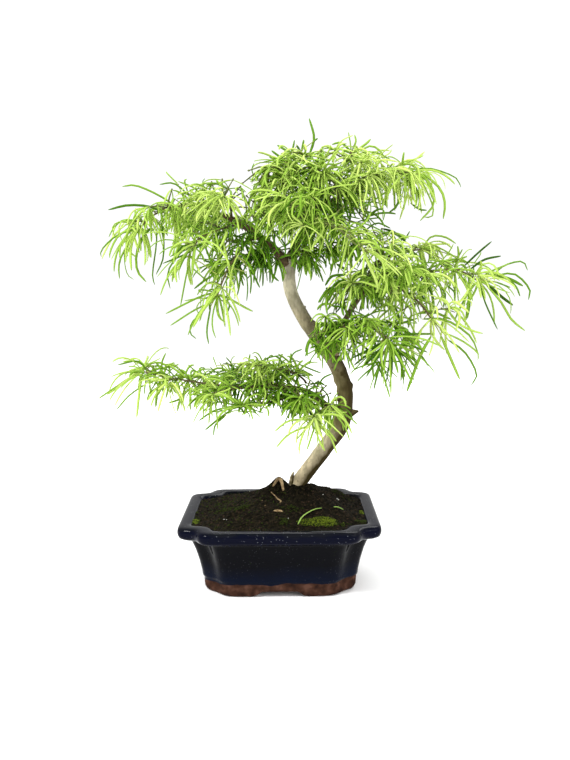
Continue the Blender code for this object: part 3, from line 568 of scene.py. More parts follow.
# Each mass: how dark it is from 0 to 1, with painted shade in that of the inner and under masses,
# how full its whorls are, how far its needles bend, how wide they are, and how long its added
# needles are against the source's.
LOOKS = {
    "lower_left_tip": (0.32, 0.6, 0.5, 1.0, 0.9), "lower_left_middle": (0.38, 0.9, 0.45, 0.9, 0.8),
    "lower_left_front": (0.39, 1.2, 0.5, 0.9, 0.8), "lower_left_top": (0.27, 1.1, 0.5, 0.9, 0.8),
    "lower_left_inner": (0.62, 1.3, 0.7, 0.9, 0.7), "lower_left_back": (0.52, 1.0, 0.5, 0.9, 0.8),
    "low_front_sprig": (0.22, 0.7, 0.8, 1.0, 0.8), "middle_left": (0.42, 0.9, 0.9, 0.9, 0.7),
    "middle_front": (0.42, 1.5, 0.7, 0.9, 0.7), "middle_right": (0.44, 0.4, 0.2, 0.9, 0.7),
    "right_inner": (0.41, 1.2, 0.7, 1.0, 0.7), "right_arm": (0.29, 0.3, 0.6, 1.0, 0.8),
    "right_top": (0.26, 0.6, 0.8, 1.0, 0.8), "right_hanging": (0.2, 0.2, 0.9, 1.0, 0.8),
    "right_back": (0.46, 0.9, 0.8, 1.0, 0.8), "left_tip": (0.26, 0.4, 1.2, 1.0, 0.9),
    "left_top": (0.14, 0.9, 0.6, 0.85, 0.8), "left_front": (0.38, 0.3, 0.6, 0.9, 0.8),
    "left_hanging": (0.37, 0.2, 0.8, 1.0, 0.8), "left_back": (0.46, 0.9, 0.9, 1.0, 0.7),
    "crown_front": (0.28, 0.55, 0.8, 0.8, 0.8), "crown_left": (0.22, 0.9, 0.45, 0.9, 0.8),
    "crown_middle": (0.28, 1.3, 0.55, 0.95, 0.8), "apex": (0.12, 0.8, 0.7, 0.9, 0.8),
    "apex_right": (0.13, 0.7, 1.0, 0.9, 0.9), "crown_back": (0.46, 1.3, 0.9, 1.0, 0.8),
    "cascade": (0.18, 0.3, 0.7, 0.8, 0.8), "under_left": (0.63, 1.5, 0.6, 0.85, 0.6),
    "under_right": (0.54, 1.5, 0.6, 0.9, 0.6),
}
# The way that a mass's needles are swept, where they don't stand out evenly.
SWEPT = {
    "crown_left": (-0.75, -0.25, 0.05), "crown_middle": (-0.15, -0.25, 0.15), "apex": (0.4, 0, 0.1),
    "apex_right": (0.4, 0, 0), "left_top": (-0.5, -0.1, 0), "left_front": (-0.5, -0.1, -0.2),
    "left_hanging": (-0.2, 0, -0.2), "right_arm": (0.5, 0, 0.1), "right_top": (0.3, 0, 0.2),
    "lower_left_tip": (-0.4, 0, 0), "lower_left_middle": (-0.3, -0.1, 0.2),
    "lower_left_top": (-0.1, -0.1, 0.3), "under_left": (-0.3, -0.2, -0.3),
    "middle_right": (0.1, -0.2, -0.3), "crown_front": (-0.5, -0.3, 0.1),
}
LOW_PAINTED_SHADE = 0.16  # painted shade: how much darker a mass's lowest rosette is than its highest
WHORL_SHADE = {"tip": -0.10, "spur": 0.06, "twiglet": -0.04, "fine_spur": 0.12}
NEAR_BOUGH_PAINTED_SHADE = 0.22  # painted shade: how much darker it is beside a limb
NEAR_BOUGH = 14.0  # how far from a limb that goes
SPRAY_SHADE = 0.09  # spread of shade between one mass's sprays
NEEDLE_SHADE = 0.07  # and between one spray's needles
# Finer growth: twiglets off the stem and the shoots, and spurs with whorls of needles.
TWIGLET_SPACING = 11.0
TWIGLET_LENGTH = (8.0, 15.0)
TWIGLET_RADII = (0.55, 0.5, 0.35)
TWIGLET_BOW = 0.06  # how far a twiglet's middle rises, for its length
TWIGLET_ANGLE = (40, 65)
TWIGLET_RISE = (-0.3, 0.5)
TWIGLET_SIZE = 0.92  # of its whorl's needles
FIRST_TWIGLET = 0.22  # on the stem, as a share of its length
FIRST_ON_SHOOT = 0.35
FINE_SPUR_SPACING = 6.0
FINE_SPUR_RISE = 0.25
FINE_SPUR_SIZE = 0.85
FINE_SPUR_DEPTH = 0.6  # where its middle is, for the twig's radius
WHORL = {"tip": 12, "spur": 8, "twiglet": 10, "fine_spur": 5}  # needles in a whorl that is full
WHORL_DEPTH = 1.25  # how far down its sphere of radius 1 a whorl's needles go
WHORL_RADIUS = 1.2
WHORL_STRAY = 0.12  # spread of a needle's way out
GOLDEN_ANGLE = 2.39996
MOST_ALONG_TWIG = 0.85  # a spur's needles don't lie along its twig
BARK_CLEARANCE = 1.0
TRIED = slice(2, None, 3)  # the stations at which a fine needle needs room
TWIG_SIDES, TWIGLET_SIDES, SPUR_SIDES = 7, 5, 6
TWIG_STEPS = 4
SPUR_PATH = (-0.8, 0.0, 0.8, 1.5)  # steps along a spur's axis
SPUR_RADII = (0.5, 0.8, 0.88, 0.5)
FILL_RADII = (0.8, 0.7, 0.5)
FILL_BOW = 0.08
TWIG_SLIMNESS = 0.75  # of the source's radii
FINE_SPREAD = (0.55, 1.15)
REACH_MARGIN = 4.0  # how far past its node's box a fine needle may reach
BEND = (0.35, 1.0)  # fall of a fine needle over its length, before its mass's share
HOOK = 0.30  # spread of the turn at its tip
HOOK_FALL = 0.1
CURL = 0.22  # spread of its sideways turn
SOURCE_BEND = 0.25  # fall added to the source's own needles
BLADE_WIDTH = (1.8, 2.4)
BLADE_THICKNESS = 0.58  # of its width
BLADE_STATIONS = (0.0, 0.08, 0.22, 0.38, 0.54, 0.69, 0.82, 0.93, 1.0)
BLADE_PROFILE = (0.55, 0.85, 1.0, 1.0, 1.0, 0.98, 0.92, 0.74, 0.30)
BLADE_KEEL = 0.6  # how far its underside stands out, against its upper side
BLADE_ROLL = 1.2
LEADER_ROLL = (1.2, 1.95)
LEADER_WIDTH = 0.082  # for each tenth in the table
LEADER_STEPS = 6  # between two points of its line
LEADER_DRIFT = 0.3  # of its length, towards or away from the front
LEADER_DEPTH = 8  # how far its root may be from its depth's plane
LEADER_NEARNESS = Vector((1, 0.3873, 1))  # what each axis counts for in finding its twig
LEAST_LEADER_TWIG = 2  # a shorter gap to the wood gets no twig
LEADER_TWIG_RADII = (0.6, 0.5, 0.4)
LEADER_BOW = 0.05
LEADER_BUD_RADII = (0.5, 0.4)
BARK_SIDES = 56
BARK_SPACING = 1.3
BOUGH_SIDES = 24
COLLAR_LENGTH = 7.0  # how far a bough runs on into the limb that carries it, and its collar out
# Knots and old branch collars on the trunk: where they are, how wide and how high.
KNOTS = (
    ((67.5, 5, 182), 4.5, 1.7), ((53.2, 5, 186), 4.5, 1.0), ((53.2, 5, 180.5), 2.4, -1.0),
    ((52.8, 6, 175), 5.0, 1.1), ((34, -3, 240), 4.5, 1.7), ((49, -1, 219), 5.0, 1.6),
    ((58, -3, 196), 4.0, 0.7), ((68, 8, 154), 5.0, 1.5), ((53, 8, 150), 6.0, 1.1),
    ((45, 4, 117), 5.0, 0.9), ((38, 4, 108), 4.0, 0.5), ((14, 9, 93), 3.5, 1.4),
    ((24, 18, 96), 4.5, 0.9), ((60, 15, 152), 5.0, 1.2), ((45, 9, 214), 5.0, 1.0),
    ((18, 7, 262), 5.0, 0.7), ((7, 1, 290), 5.5, 0.9), ((30, 7, 238), 4.5, 0.8),
)
# Stains on the trunk: where they are, how wide, and what they leave of its colour.
STAINS = (
    ((50, -2, 199.4), 1.4, 0.35), ((52.5, -2.6, 198), 1.4, 0.35), ((55, -2.9, 196.5), 1.5, 0.30),
    ((57.5, -2.9, 195), 1.6, 0.2), ((58.6, -2.9, 193), 2.0, 0.12), ((60.4, -2.0, 190.8), 1.6, 0.3),
    ((61.2, -2, 179.6), 3.4, 0.55), ((67.7, 4, 182), 2.2, 0.3), ((53, 4.5, 180.5), 2.0, 0.5),
    ((25.2, -0.5, 254.6), 1.7, 0.25), ((32, -3.2, 241.8), 1.6, 0.4),
    ((35.5, -1.5, 238.2), 1.8, 0.35),
    ((46, -2.2, 221), 1.9, 0.4), ((49.5, -1.5, 211), 1.4, 0.5), ((67, 4, 158), 2.2, 0.35),
    ((47.2, 7, 117), 3.4, 0.12), ((44, 6.5, 112), 2.2, 0.4), ((13.4, 9, 97), 2.0, 0.30),
    ((9.4, 6.4, 83), 3.2, 0.25), ((9.6, 6.2, 89), 2.8, 0.25), ((11, 6, 95), 2.4, 0.25),
    ((17.5, 5.5, 90.5), 1.5, 0.45), ((24, 5.5, 97), 0.9, 0.6),
    ((31, 5.5, 104), 0.9, 0.6), ((57, 16, 170), 3.0, 0.6),
)
# Whorls that fill the crown's inside: where each is, its shade in hundredths and its needles. The
# dark shades are painted shade inside the crown.
FILLS = {
    "left_top": ((-74, -30, 353, 30, 9), (-60, -28, 356, 30, 9), (-40, -26, 356, 30, 9),
        (-28, -22, 354, 35, 9), (-22, -20, 341, 47, 11), (-30, -30, 330, 47, 10),
        (-54, -26, 362, 19, 9), (-45, -26, 364, 15, 9), (-36, -26, 364, 17, 9),
        (-30, -26, 358, 25, 8)),
    "left_tip": ((-88, -28, 356, 25, 8),),
    "crown_left": ((-12, -12, 365, 37, 10), (-18, -18, 356, 43, 10), (-28, -20, 362, 17, 9),
        (-6, -26, 358, 21, 11), (-22, -24, 372, 21, 9), (-11, -30, 355, 19, 10),
        (-4, -30, 348, 23, 10), (-20, -30, 350, 21, 10)),
    "crown_front": ((-12, -26, 335, 48, 11), (-1, -26, 317, 71, 13), (8, -22, 308, 69, 13),
        (-18, -30, 345, 19, 11), (4, -34, 340, 19, 11), (16, -32, 330, 25, 11),
        (-24, -30, 334, 25, 10), (34, -34, 332, 41, 11), (26, -34, 340, 37, 11),
        (29, -34, 324, 47, 11), (-24, -28, 350, 20, 11)),
    "left_hanging": ((-22, -26, 320, 69, 13), (-12, -24, 314, 73, 13), (-28, -30, 311, 66, 11),
        (-7, -22, 303, 66, 11), (-38, -28, 317, 56, 10)),
    "under_right": ((17, -24, 313, 66, 13), (81, -8, 315, 48, 11), (72, -10, 308, 48, 11),
        (-3, -22, 304, 61, 11), (6, -22, 300, 59, 11), (12, -22, 306, 55, 11),
        (28, -26, 312, 45, 11), (22, -28, 322, 41, 11), (21, -22, 300, 59, 10),
        (30, -22, 300, 57, 10)),
    "apex": ((43, -18, 343, 61, 13), (54, -16, 339, 63, 13), (60, -14, 352, 56, 11),
        (40, -20, 355, 50, 10), (34, -24, 374, 25, 11), (48, -20, 366, 33, 10),
        (52, -18, 388, 12, 10), (40, -18, 388, 16, 10), (62, -14, 380, 16, 10)),
    "apex_right": ((65, -12, 342, 63, 13), (81, -12, 333, 53, 11), (72, -10, 337, 47, 10),
        (77, -10, 330, 49, 10)),
    "cascade": ((47, -22, 330, 56, 13), (58, -20, 325, 51, 13), (70, -16, 328, 51, 11),
        (35, -26, 323, 51, 11), (43, -32, 327, 51, 11), (49, -30, 322, 47, 11),
        (50, -30, 334, 49, 11), (58, -28, 341, 39, 10)),
    "right_top": ((92, -4, 317, 43, 11), (102, 0, 307, 43, 10), (87, -6, 307, 43, 10),
        (84, -10, 325, 45, 10), (93, -10, 322, 41, 10), (102, -10, 318, 39, 9)),
    "right_inner": ((59, -25, 261, 48, 11), (54, -18, 268, 53, 10), (46, -24, 272, 45, 9),
        (62, -26, 276, 39, 10), (52, -26, 254, 41, 8)),
    "middle_right": ((65, -30, 253, 48, 10), (110, -36, 231, 47, 11), (102, -36, 240, 46, 11),
        (88, -45, 209, 46, 10), (81, -42, 217, 46, 10), (104, -42, 219, 46, 10),
        (74, -36, 246, 35, 9), (84, -38, 240, 37, 9)),
    "right_hanging": ((96, -34, 262, 25, 8), (108, -34, 252, 23, 8)),
    "lower_left_inner": ((24, -22, 177, 50, 11), (35, -26, 172, 46, 11), (20, -24, 169, 56, 11),
        (40, -12, 182, 46, 10), (0, -30, 184, 49, 9), (14, -30, 186, 47, 9), (28, -28, 190, 43, 9),
        (-7, -34, 189, 47, 11), (5, -34, 188, 49, 11), (16, -34, 186, 51, 11),
        (26, -30, 182, 57, 11), (36, -14, 188, 59, 11), (43, -14, 184, 57, 11),
        (47, -12, 177, 61, 10), (40, -14, 174, 61, 10)),
    "lower_left_front": ((6, -26, 176, 59, 13), (-10, -34, 178, 45, 9), (-22, -34, 184, 39, 9)),
    "middle_front": ((57, -40, 236, 50, 10), (40, -42, 222, 41, 11), (50, -44, 228, 37, 11),
        (30, -40, 230, 41, 9), (58, -40, 220, 43, 9), (66, -36, 226, 53, 10)),
    "middle_left": ((46, -34, 243, 48, 10),),
    "under_left": ((-14, -24, 304, 65, 11), (-24, -26, 300, 61, 11), (2, -22, 297, 61, 10)),
    "crown_middle": ((6, -26, 366, 29, 11), (18, -28, 372, 29, 11), (14, -26, 386, 17, 9),
        (28, -26, 362, 43, 11)),
    "lower_left_middle": ((-34, -26, 190, 35, 9), (-48, -24, 192, 31, 8)),
    "left_front": ((-52, -30, 318, 39, 8), (-40, -32, 326, 41, 8)),
    "lower_left_top": ((-17, -32, 190, 41, 10),),
    "crown_back": ((0, 14, 370, 58, 12), (14, 16, 374, 56, 12), (30, 16, 374, 56, 12),
        (46, 16, 370, 58, 12), (60, 14, 366, 56, 12), (8, 12, 352, 62, 12), (28, 14, 354, 62, 12),
        (48, 14, 350, 62, 12), (66, 12, 354, 58, 10)),
}
# Where the foliage lies in its own shadow or stands in light: x and z, how wide, and how much.
POOLS = (
    (-22, 311, 15, 0.16), (4, 313, 13, 0.10), (30, 334, 18, 0.18), (54, 342, 14, 0.12),
    (-8, 172, 16, 0.08), (34, 282, 14, -0.14), (62, 282, 16, -0.12), (116, 228, 16, -0.10),
    (22, 388, 26, -0.13), (92, 372, 30, -0.07), (44, 366, 14, 0.10), (-55, 345, 16, -0.05),
    (-96, 330, 20, -0.06), (12, 345, 14, -0.06), (34, 205, 16, -0.06), (72, 265, 26, -0.08),
    (92, 245, 24, -0.08), (-12, 293, 12, -0.14), (22, 318, 11, -0.08), (-48, 318, 16, -0.08),
    (-20, 196, 16, -0.05), (12, 298, 9, -0.06), (92, 224, 14, 0.18), (60, 242, 18, 0.15),
    (62, 394, 20, -0.09), (112, 312, 18, -0.10),
)
# What bounds a mass's needles where its box is too roomy: shares of x and z, and their sum's limit.
LIMITS = {
    "crown_left": (-0.85, 1, 386), "crown_middle": (0, 1, 391), "apex": (0, 1, 399),
    "apex_right": (0, 1, 388), "crown_back": (0, 1, 385), "lower_left_top": (0, 1, 215),
    "lower_left_inner": (0, 1, 212), "middle_left": (-1, 0, -29), "lower_left_front": (0, -1, -163),
}
YOUNG_STEMS = {"cascade": 0.5, "low_front_sprig": 0.6, "crown_front": 0.6}
# The needles that lead each mass's outline, in its depth's plane: a shade in hundredths, a width in
# tenths, and the line that it follows, as x and z by turns.
LEADERS = {
    "left_tip": (-20, (
        (70, 26, -97, 338, -108, 343, -126, 344, -142, 340),
        (45, 22, -90, 346, -103, 354, -120, 361, -131, 360),
        (35, 14, -128, 330, -138, 331, -143, 326, -141, 319),
        (50, 18, -118, 325, -138, 319, -152, 307, -153, 301),
        (35, 24, -119, 328, -136, 319, -144, 306, -145, 300),
        (30, 22, -128, 320, -139, 308, -143, 296, -144, 288),
        (45, 22, -124, 318, -135, 301, -138, 291, -138, 282),
        (40, 18, -132, 306, -132, 294, -130, 285, -125, 281),
        (45, 26, -111, 324, -120, 306, -120, 289, -112, 279),
        (50, 24, -103, 325, -104, 310, -108, 285, -106, 276),
        (78, 30, -99, 329, -97, 315, -98, 298, -104, 285),
        (75, 28, -108, 325, -115, 318, -118, 310), (25, 22, -126, 324, -134, 311, -135, 300),
        (20, 22, -121, 323, -129, 311, -130, 296), (30, 16, -85, 363, -94, 372, -95, 374),
    )),
    "left_top": (-30, (
        (45, 18, -61, 347, -68, 357, -82, 363), (50, 18, -72, 350, -85, 361, -97, 360),
        (55, 16, -57, 351, -61, 361, -59, 365), (35, 16, -43, 355, -49, 363, -48, 360),
    )),
    "left_front": (-42, (
        (50, 18, -58, 311, -79, 304, -92, 287, -91, 273), (45, 18, -73, 292, -76, 278, -80, 259),
        (50, 22, -50, 285, -59, 280, -68, 273), (60, 20, -55, 317, -72, 311, -91, 300),
        (65, 18, -58, 311, -76, 301, -93, 294), (55, 22, -59, 308, -54, 295, -49, 284),
    )),
    "left_hanging": (-48, (
        (45, 20, -50, 270, -64, 266, -91, 253), (45, 18, -54, 261, -67, 256, -88, 243),
        (50, 16, -62, 253, -71, 245, -73, 236, -68, 231), (50, 24, -55, 258, -59, 238, -58, 226),
        (45, 30, -48, 267, -45, 254, -43, 241), (50, 20, -46, 263, -39, 260, -42, 251),
        (35, 22, -48, 267, -60, 257, -64, 246), (65, 22, -25, 286, -24, 273, -25, 262),
        (70, 20, -21, 292, -18, 282, -14, 273), (60, 20, -23, 290, -21, 280, -22, 268),
        (35, 14, -54, 264, -64, 265, -77, 263),
    )),
    "crown_left": (-10, (
        (50, 30, 30, 387, 34, 401, 30, 418), (50, 18, 33, 397, 37, 400),
        (60, 24, 10, 382, 15, 391, 17, 399), (50, 24, 13, 388, 2, 395), (80, 24, 19, 394, 24, 385),
        (85, 24, 6, 368, 0, 374, -6, 379), (90, 24, 6, 367, -5, 369, -12, 372),
        (80, 24, 6, 367, -1, 375), (50, 24, 9, 381, -3, 390), (45, 24, 9, 381, -5, 384),
        (50, 14, -19, 369, -20, 374, -18, 379), (60, 24, 23, 389, 25, 399),
    )),
    "apex": (0, (
        (30, 28, 67, 388, 66, 397, 64, 406), (45, 24, 67, 390, 58, 398, 50, 397),
        (30, 26, 70, 390, 80, 397, 84, 401), (30, 26, 73, 391, 85, 396, 94, 390, 95, 384),
        (35, 24, 68, 392, 71, 399, 70, 405), (40, 24, 66, 389, 56, 393, 47, 392),
        (35, 24, 72, 389, 88, 391, 103, 384),
    )),
    "apex_right": (-5, (
        (55, 18, 116, 373, 135, 374, 156, 366, 161, 357),
        (35, 30, 129, 370, 144, 357, 149, 344, 148, 331),
        (30, 24, 126, 371, 136, 359, 138, 343, 126, 329),
        (35, 22, 127, 365, 138, 343, 138, 333, 132, 333),
        (50, 20, 116, 366, 125, 354, 126, 344, 124, 341), (30, 24, 114, 365, 123, 351, 121, 339),
        (60, 20, 119, 344, 126, 339, 132, 338), (50, 26, 106, 374, 110, 360, 108, 344, 100, 337),
        (45, 30, 93, 366, 98, 355, 97, 343), (30, 16, 99, 382, 100, 386, 106, 384, 112, 379),
        (35, 18, 109, 379, 119, 378, 129, 371), (25, 26, 113, 375, 131, 365, 137, 347),
    )),
    "right_top": (12, (
        (35, 22, 135, 310, 142, 317, 154, 316, 164, 310), (30, 18, 139, 310, 151, 305, 172, 292),
        (55, 18, 110, 303, 117, 314, 122, 322), (85, 26, 97, 324, 108, 320, 118, 311),
        (60, 20, 81, 323, 91, 329, 103, 324), (35, 26, 163, 289, 166, 299, 165, 308),
        (40, 18, 166, 298, 170, 305),
    )),
    "right_arm": (2, (
        (80, 24, 170, 290, 182, 302, 192, 311), (80, 26, 175, 287, 186, 295, 200, 298),
        (55, 36, 181, 280, 197, 281, 212, 277, 224, 271),
        (50, 20, 196, 283, 205, 290, 220, 293, 225, 285),
        (50, 22, 197, 281, 213, 282, 226, 269, 225, 259), (50, 20, 207, 278, 215, 271, 219, 262),
        (85, 32, 189, 274, 201, 263, 213, 254), (35, 26, 189, 272, 201, 257, 209, 242, 220, 232),
        (75, 30, 183, 272, 187, 256, 197, 233), (40, 30, 173, 283, 174, 268, 171, 241),
        (50, 26, 173, 268, 175, 255, 174, 242), (60, 18, 197, 275, 210, 270),
        (55, 26, 144, 275, 153, 266, 152, 252), (85, 24, 134, 273, 140, 260),
        (90, 26, 127, 269, 132, 260), (50, 20, 154, 273, 161, 267, 162, 263),
    )),
    "right_hanging": (-36, (
        (45, 26, 121, 250, 133, 251, 150, 244), (40, 26, 125, 245, 144, 244, 166, 230, 175, 213),
        (35, 20, 146, 232, 160, 225, 173, 215, 174, 208),
        (50, 22, 146, 227, 161, 216, 172, 197, 168, 187), (25, 30, 140, 230, 148, 213, 158, 192),
        (45, 34, 131, 230, 122, 215, 110, 184), (45, 22, 116, 228, 111, 209, 109, 182),
        (15, 30, 123, 236, 116, 222, 114, 214), (50, 24, 103, 254, 106, 245, 103, 236),
        (35, 24, 106, 265, 123, 262, 139, 254), (20, 24, 109, 261, 116, 251, 113, 237),
    )),
    "middle_right": (-46, (
        (85, 24, 89, 226, 66, 206), (85, 22, 89, 226, 64, 213), (80, 24, 91, 224, 73, 206),
        (75, 24, 91, 224, 83, 211, 75, 198), (80, 22, 93, 224, 90, 199),
        (85, 26, 95, 223, 95, 204, 92, 186), (80, 24, 96, 223, 98, 206, 96, 187),
        (70, 26, 96, 223, 105, 209, 108, 193), (80, 22, 96, 223, 110, 213, 120, 202),
        (75, 20, 122, 215, 128, 206), (75, 22, 96, 224, 113, 223, 128, 217),
        (70, 24, 96, 225, 106, 232, 121, 233), (80, 24, 94, 225, 102, 235),
        (85, 24, 88, 227, 72, 229), (80, 24, 86, 239, 96, 243, 104, 239),
        (75, 20, 75, 241, 81, 243, 87, 239),
    )),
    "right_inner": (-36, (
        (65, 28, 60, 283, 48, 282, 42, 274), (60, 32, 62, 277, 49, 270, 42, 256),
        (70, 26, 60, 279, 51, 276, 45, 266), (40, 18, 62, 301, 61, 287, 62, 265),
        (70, 20, 47, 257, 60, 255), (90, 26, 52, 292, 60, 287),
        (60, 26, 57, 297, 48, 292, 47, 286),
    )),
    "cascade": (-66, (
        (5, 34, 70, 306, 76, 292, 83, 277, 84, 271), (20, 16, 72, 301, 78, 290, 90, 277, 91, 268),
        (15, 16, 77, 301, 87, 292, 90, 287), (30, 20, 77, 305, 87, 303, 95, 297),
        (10, 20, 62, 311, 66, 312, 69, 305), (15, 22, 35, 329, 40, 321, 31, 306),
    )),
    "low_front_sprig": (-40, (
        (20, 26, 31, 158, 10, 158, -3, 149), (20, 24, 30, 154, 10, 146, -2, 134),
        (30, 22, 28, 155, 16, 141), (30, 26, 32, 152, 25, 132),
        (10, 28, 34, 155, 44, 147, 51, 138), (20, 24, 38, 150, 46, 142, 51, 129),
        (12, 28, 32, 162, 50, 163, 59, 157, 64, 147), (35, 20, 50, 162, 59, 150, 63, 138),
        (20, 22, 38, 146, 40, 130),
    )),
    "lower_left_tip": (-8, (
        (50, 20, -119, 198, -126, 208, -144, 205), (50, 16, -126, 199, -144, 196),
        (20, 34, -128, 196, -143, 187, -158, 176), (40, 20, -147, 185, -165, 173),
        (45, 18, -120, 187, -135, 177, -147, 164), (45, 22, -106, 195, -105, 206, -101, 215),
        (60, 22, -103, 188, -118, 178), (45, 24, -85, 178, -91, 172, -100, 169),
        (75, 26, -58, 181, -72, 176, -81, 168), (60, 22, -56, 180, -72, 163),
    )),
    "lower_left_middle": (-36, (
        (60, 22, -38, 170, -56, 166, -70, 157), (55, 24, -39, 168, -53, 158, -65, 148),
        (55, 20, -46, 162, -55, 154, -57, 144), (60, 20, -38, 171, -55, 173, -68, 163),
    )),
    "lower_left_top": (-18, (
        (45, 20, -26, 204, -24, 215), (60, 18, 11, 204, 14, 214, 22, 218),
        (60, 18, -19, 204, -9, 211, 3, 213), (60, 18, 19, 204, 31, 199, 39, 196),
        (60, 20, 37, 185, 41, 191, 49, 195), (40, 20, -54, 205, -57, 213),
    )),
}
OLD, YOUNG, GREEN = range(3)
# Twigs and buds that the rule doesn't give: the wood's kind, the path and its radii.
EXTRA_TWIGS = {
    "apex": ((OLD, ((67.5, 0, 386), (67.7, 0, 389), (67.9, 0, 391.5)), (1.2, 2.5, 1.0)),),
    "crown_left": ((OLD, ((8, -8, 364), (8.5, -9, 372), (9.5, -10, 380)), (1.6, 1.4, 1.1)),),
    "cascade": (
        (
            YOUNG,
            ((40, -50, 326), (54, -56, 319), (65, -62, 308), (76, -66, 300)),
            (1.0, 0.9, 0.7, 0.5),
        ),
    ),
}
# Old wood, young wood and green shoots: their tones, the grain's fineness and the roughness.
TWIG_LOOKS = {
    "twig_bark": (
        ((0.30, (0.045, 0.032, 0.012)), (0.55, (0.105, 0.080, 0.030)), (0.75, (0.19, 0.15, 0.065))),
        420.0, 0.8,
    ),
    "young_bark": (
        ((0.30, (0.060, 0.070, 0.016)), (0.55, (0.120, 0.140, 0.032)), (0.75, (0.19, 0.23, 0.055))),
        300.0, 0.7,
    ),
    "green_shoot": (((0.30, (0.20, 0.26, 0.045)), (0.72, (0.38, 0.44, 0.10))), 250.0, 0.6),
}


# --- Building blocks -----------------------------------------------------------------------------
NOISE_RANGE = (0.3, 0.7)  # nearly all of a noise's values lie in this
MOTTLE_ROUGHNESS = 0.62  # how strong a mottle's finer noise is


class Look:
    """A material under way. Its nodes read object coordinates, and numbers sit on their sockets."""

    def __init__(self, name):
        self.material = bpy.data.materials.new(name)
        self.material.use_nodes = True
        self.tree = self.material.node_tree
        self.shader = self.tree.nodes["Principled BSDF"]

    def set(self, node, inputs):
        """Links each input to another node's output, or gives it a value."""
        for key, value in inputs.items():
            if isinstance(value, bpy.types.NodeSocket):
                self.tree.links.new(value, node.inputs[key])
            else:
                node.inputs[key].default_value = value

    def node(self, kind, output, inputs, **settings):
        """One output of a new node."""
        node = self.tree.nodes.new("ShaderNode" + kind)
        for name, value in settings.items():
            setattr(node, name, value)
        self.set(node, inputs)
        return node.outputs[output]

    def place(self, output="Object"):
        return self.node("TexCoord", output, {})

    def axis(self, name):
        return self.node("SeparateXYZ", name, {"Vector": self.place()})

    def grain(self, scale, output="Fac", stretch=1.0, **inputs):
        """A noise on the object's coordinates. One that is stretched has longer grains along Z."""
        place = self.place()
        if stretch != 1.0:
            place = self.node("Mapping", "Vector", {"Vector": place, "Scale": (1, 1, stretch)})
        return self.node("TexNoise", output, {"Vector": place, "Scale": scale, **inputs})

    def ranged(self, value, low, high, to_low=0.0, to_high=1.0):
        """A value brought from one range to another, and kept inside it."""
        limits = {"From Min": low, "From Max": high, "To Min": to_low, "To Max": to_high}
        return self.node("MapRange", "Result", {"Value": value, **limits})

    def swung(self, value, low, high):
        """A noise brought to this range."""
        return self.ranged(value, *NOISE_RANGE, low, high)

    def calculated(self, operation, first, second):
        return self.node("Math", "Value", {0: first, 1: second}, operation=operation)

    def vector(self, operation, output, *inputs):
        return self.node("VectorMath", output, dict(enumerate(inputs)), operation=operation)

    def toned(self, value, stops):
        """The colour that the stops give to a value."""
        node = self.tree.nodes.new("ShaderNodeValToRGB")
        ramp = node.color_ramp
        while len(ramp.elements) < len(stops):
            ramp.elements.new(0.5)
        for element, (position, color) in zip(ramp.elements, stops):
            element.position = position
            element.color = (*color, 1)
        self.set(node, {"Fac": value})
        return node.outputs["Color"]

    def mixed(self, factor, first, second):
        inputs = {"Factor": factor, 6: first, 7: second}
        return self.node("Mix", 2, inputs, data_type="RGBA")

    def bump(self, height, strength, distance):
        inputs = {"Height": height, "Strength": strength, "Distance": distance}
        return self.node("Bump", "Normal", inputs)

    def done(self, **inputs):
        """The finished material. Each input is named as on the shader, with _ for each space."""
        self.set(self.shader, {name.replace("_", " "): inputs[name] for name in inputs})
        return self.material


def plain(name, color, roughness, specular=0.4):
    material = Look(name).done(
        Base_Color=(*color, 1), Roughness=roughness, Specular_IOR_Level=specular
    )
    material.diffuse_color = (*color, 1)
    return material


def mottled(name, stops, scale, roughness, specular=0.3, detail=6.0, bump=0.0):
    """A material whose base colour runs through the stops as a noise does."""
    look = Look(name)
    grain = look.grain(scale, Detail=detail, Roughness=MOTTLE_ROUGHNESS)
    relief = {"Normal": look.bump(grain, bump, MM)} if bump else {}
    color = look.toned(grain, stops)
    return look.done(Base_Color=color, Roughness=roughness, Specular_IOR_Level=specular, **relief)


def add_piece(
    name, points, faces, materials, choice=None, slot="foliage", smooth=True, replaced=()
):
    """A piece from points in mm, riding on the body, with the replaced nodes hidden."""
    mesh = bpy.data.meshes.new(name)
    points = np.asarray(points, float) * MM + np.array(SHIFT)
    mesh.from_pydata(points.tolist(), [], faces)
    for material in materials:
        mesh.materials.append(material)
    if choice is not None:
        mesh.polygons.foreach_set("material_index", np.asarray(choice, np.int32))
    if smooth:
        mesh.shade_smooth()
    mesh.update()
    piece = bpy.data.objects.new(name, mesh)
    bpy.context.scene.collection.objects.link(piece)
    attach(piece, BODY)
    if replaced:
        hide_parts(*replaced)
    return piece


class Heap:
    """Points and faces of many small shapes, gathered to be one mesh."""

    def __init__(self):
        self.points = []
        self.faces = []
        self.choice = []

    def add(self, points, faces, choice=0):
        first = len(self.points)
        self.points.extend(points)
        self.faces.extend([tuple(first + index for index in face) for face in faces])
        self.choice.extend([choice] * len(faces))

    def piece(self, name, materials, **options):
        return add_piece(name, self.points, self.faces, materials, self.choice, **options)


def frames_along(path):
    """At each point of a path its direction, and a side that turns as little as it can."""
    count = len(path)
    along = [(path[min(i + 1, count - 1)] - path[max(i - 1, 0)]).normalized() for i in range(count)]
    side = along[0].orthogonal().normalized()
    found = []
    for direction in along:
        side = (side - direction * side.dot(direction)).normalized()
        found.append((direction, side, direction.cross(side)))
    return found


def ring_faces(count, sides):
    faces = []
    for step in range(count - 1):
        low, high = step * sides, (step + 1) * sides
        for i in range(sides):
            j = (i + 1) % sides
            faces.append((low + i, low + j, high + j, high + i))
    faces.append(tuple(range(sides - 1, -1, -1)))
    faces.append(tuple(range((count - 1) * sides, count * sides)))
    return faces


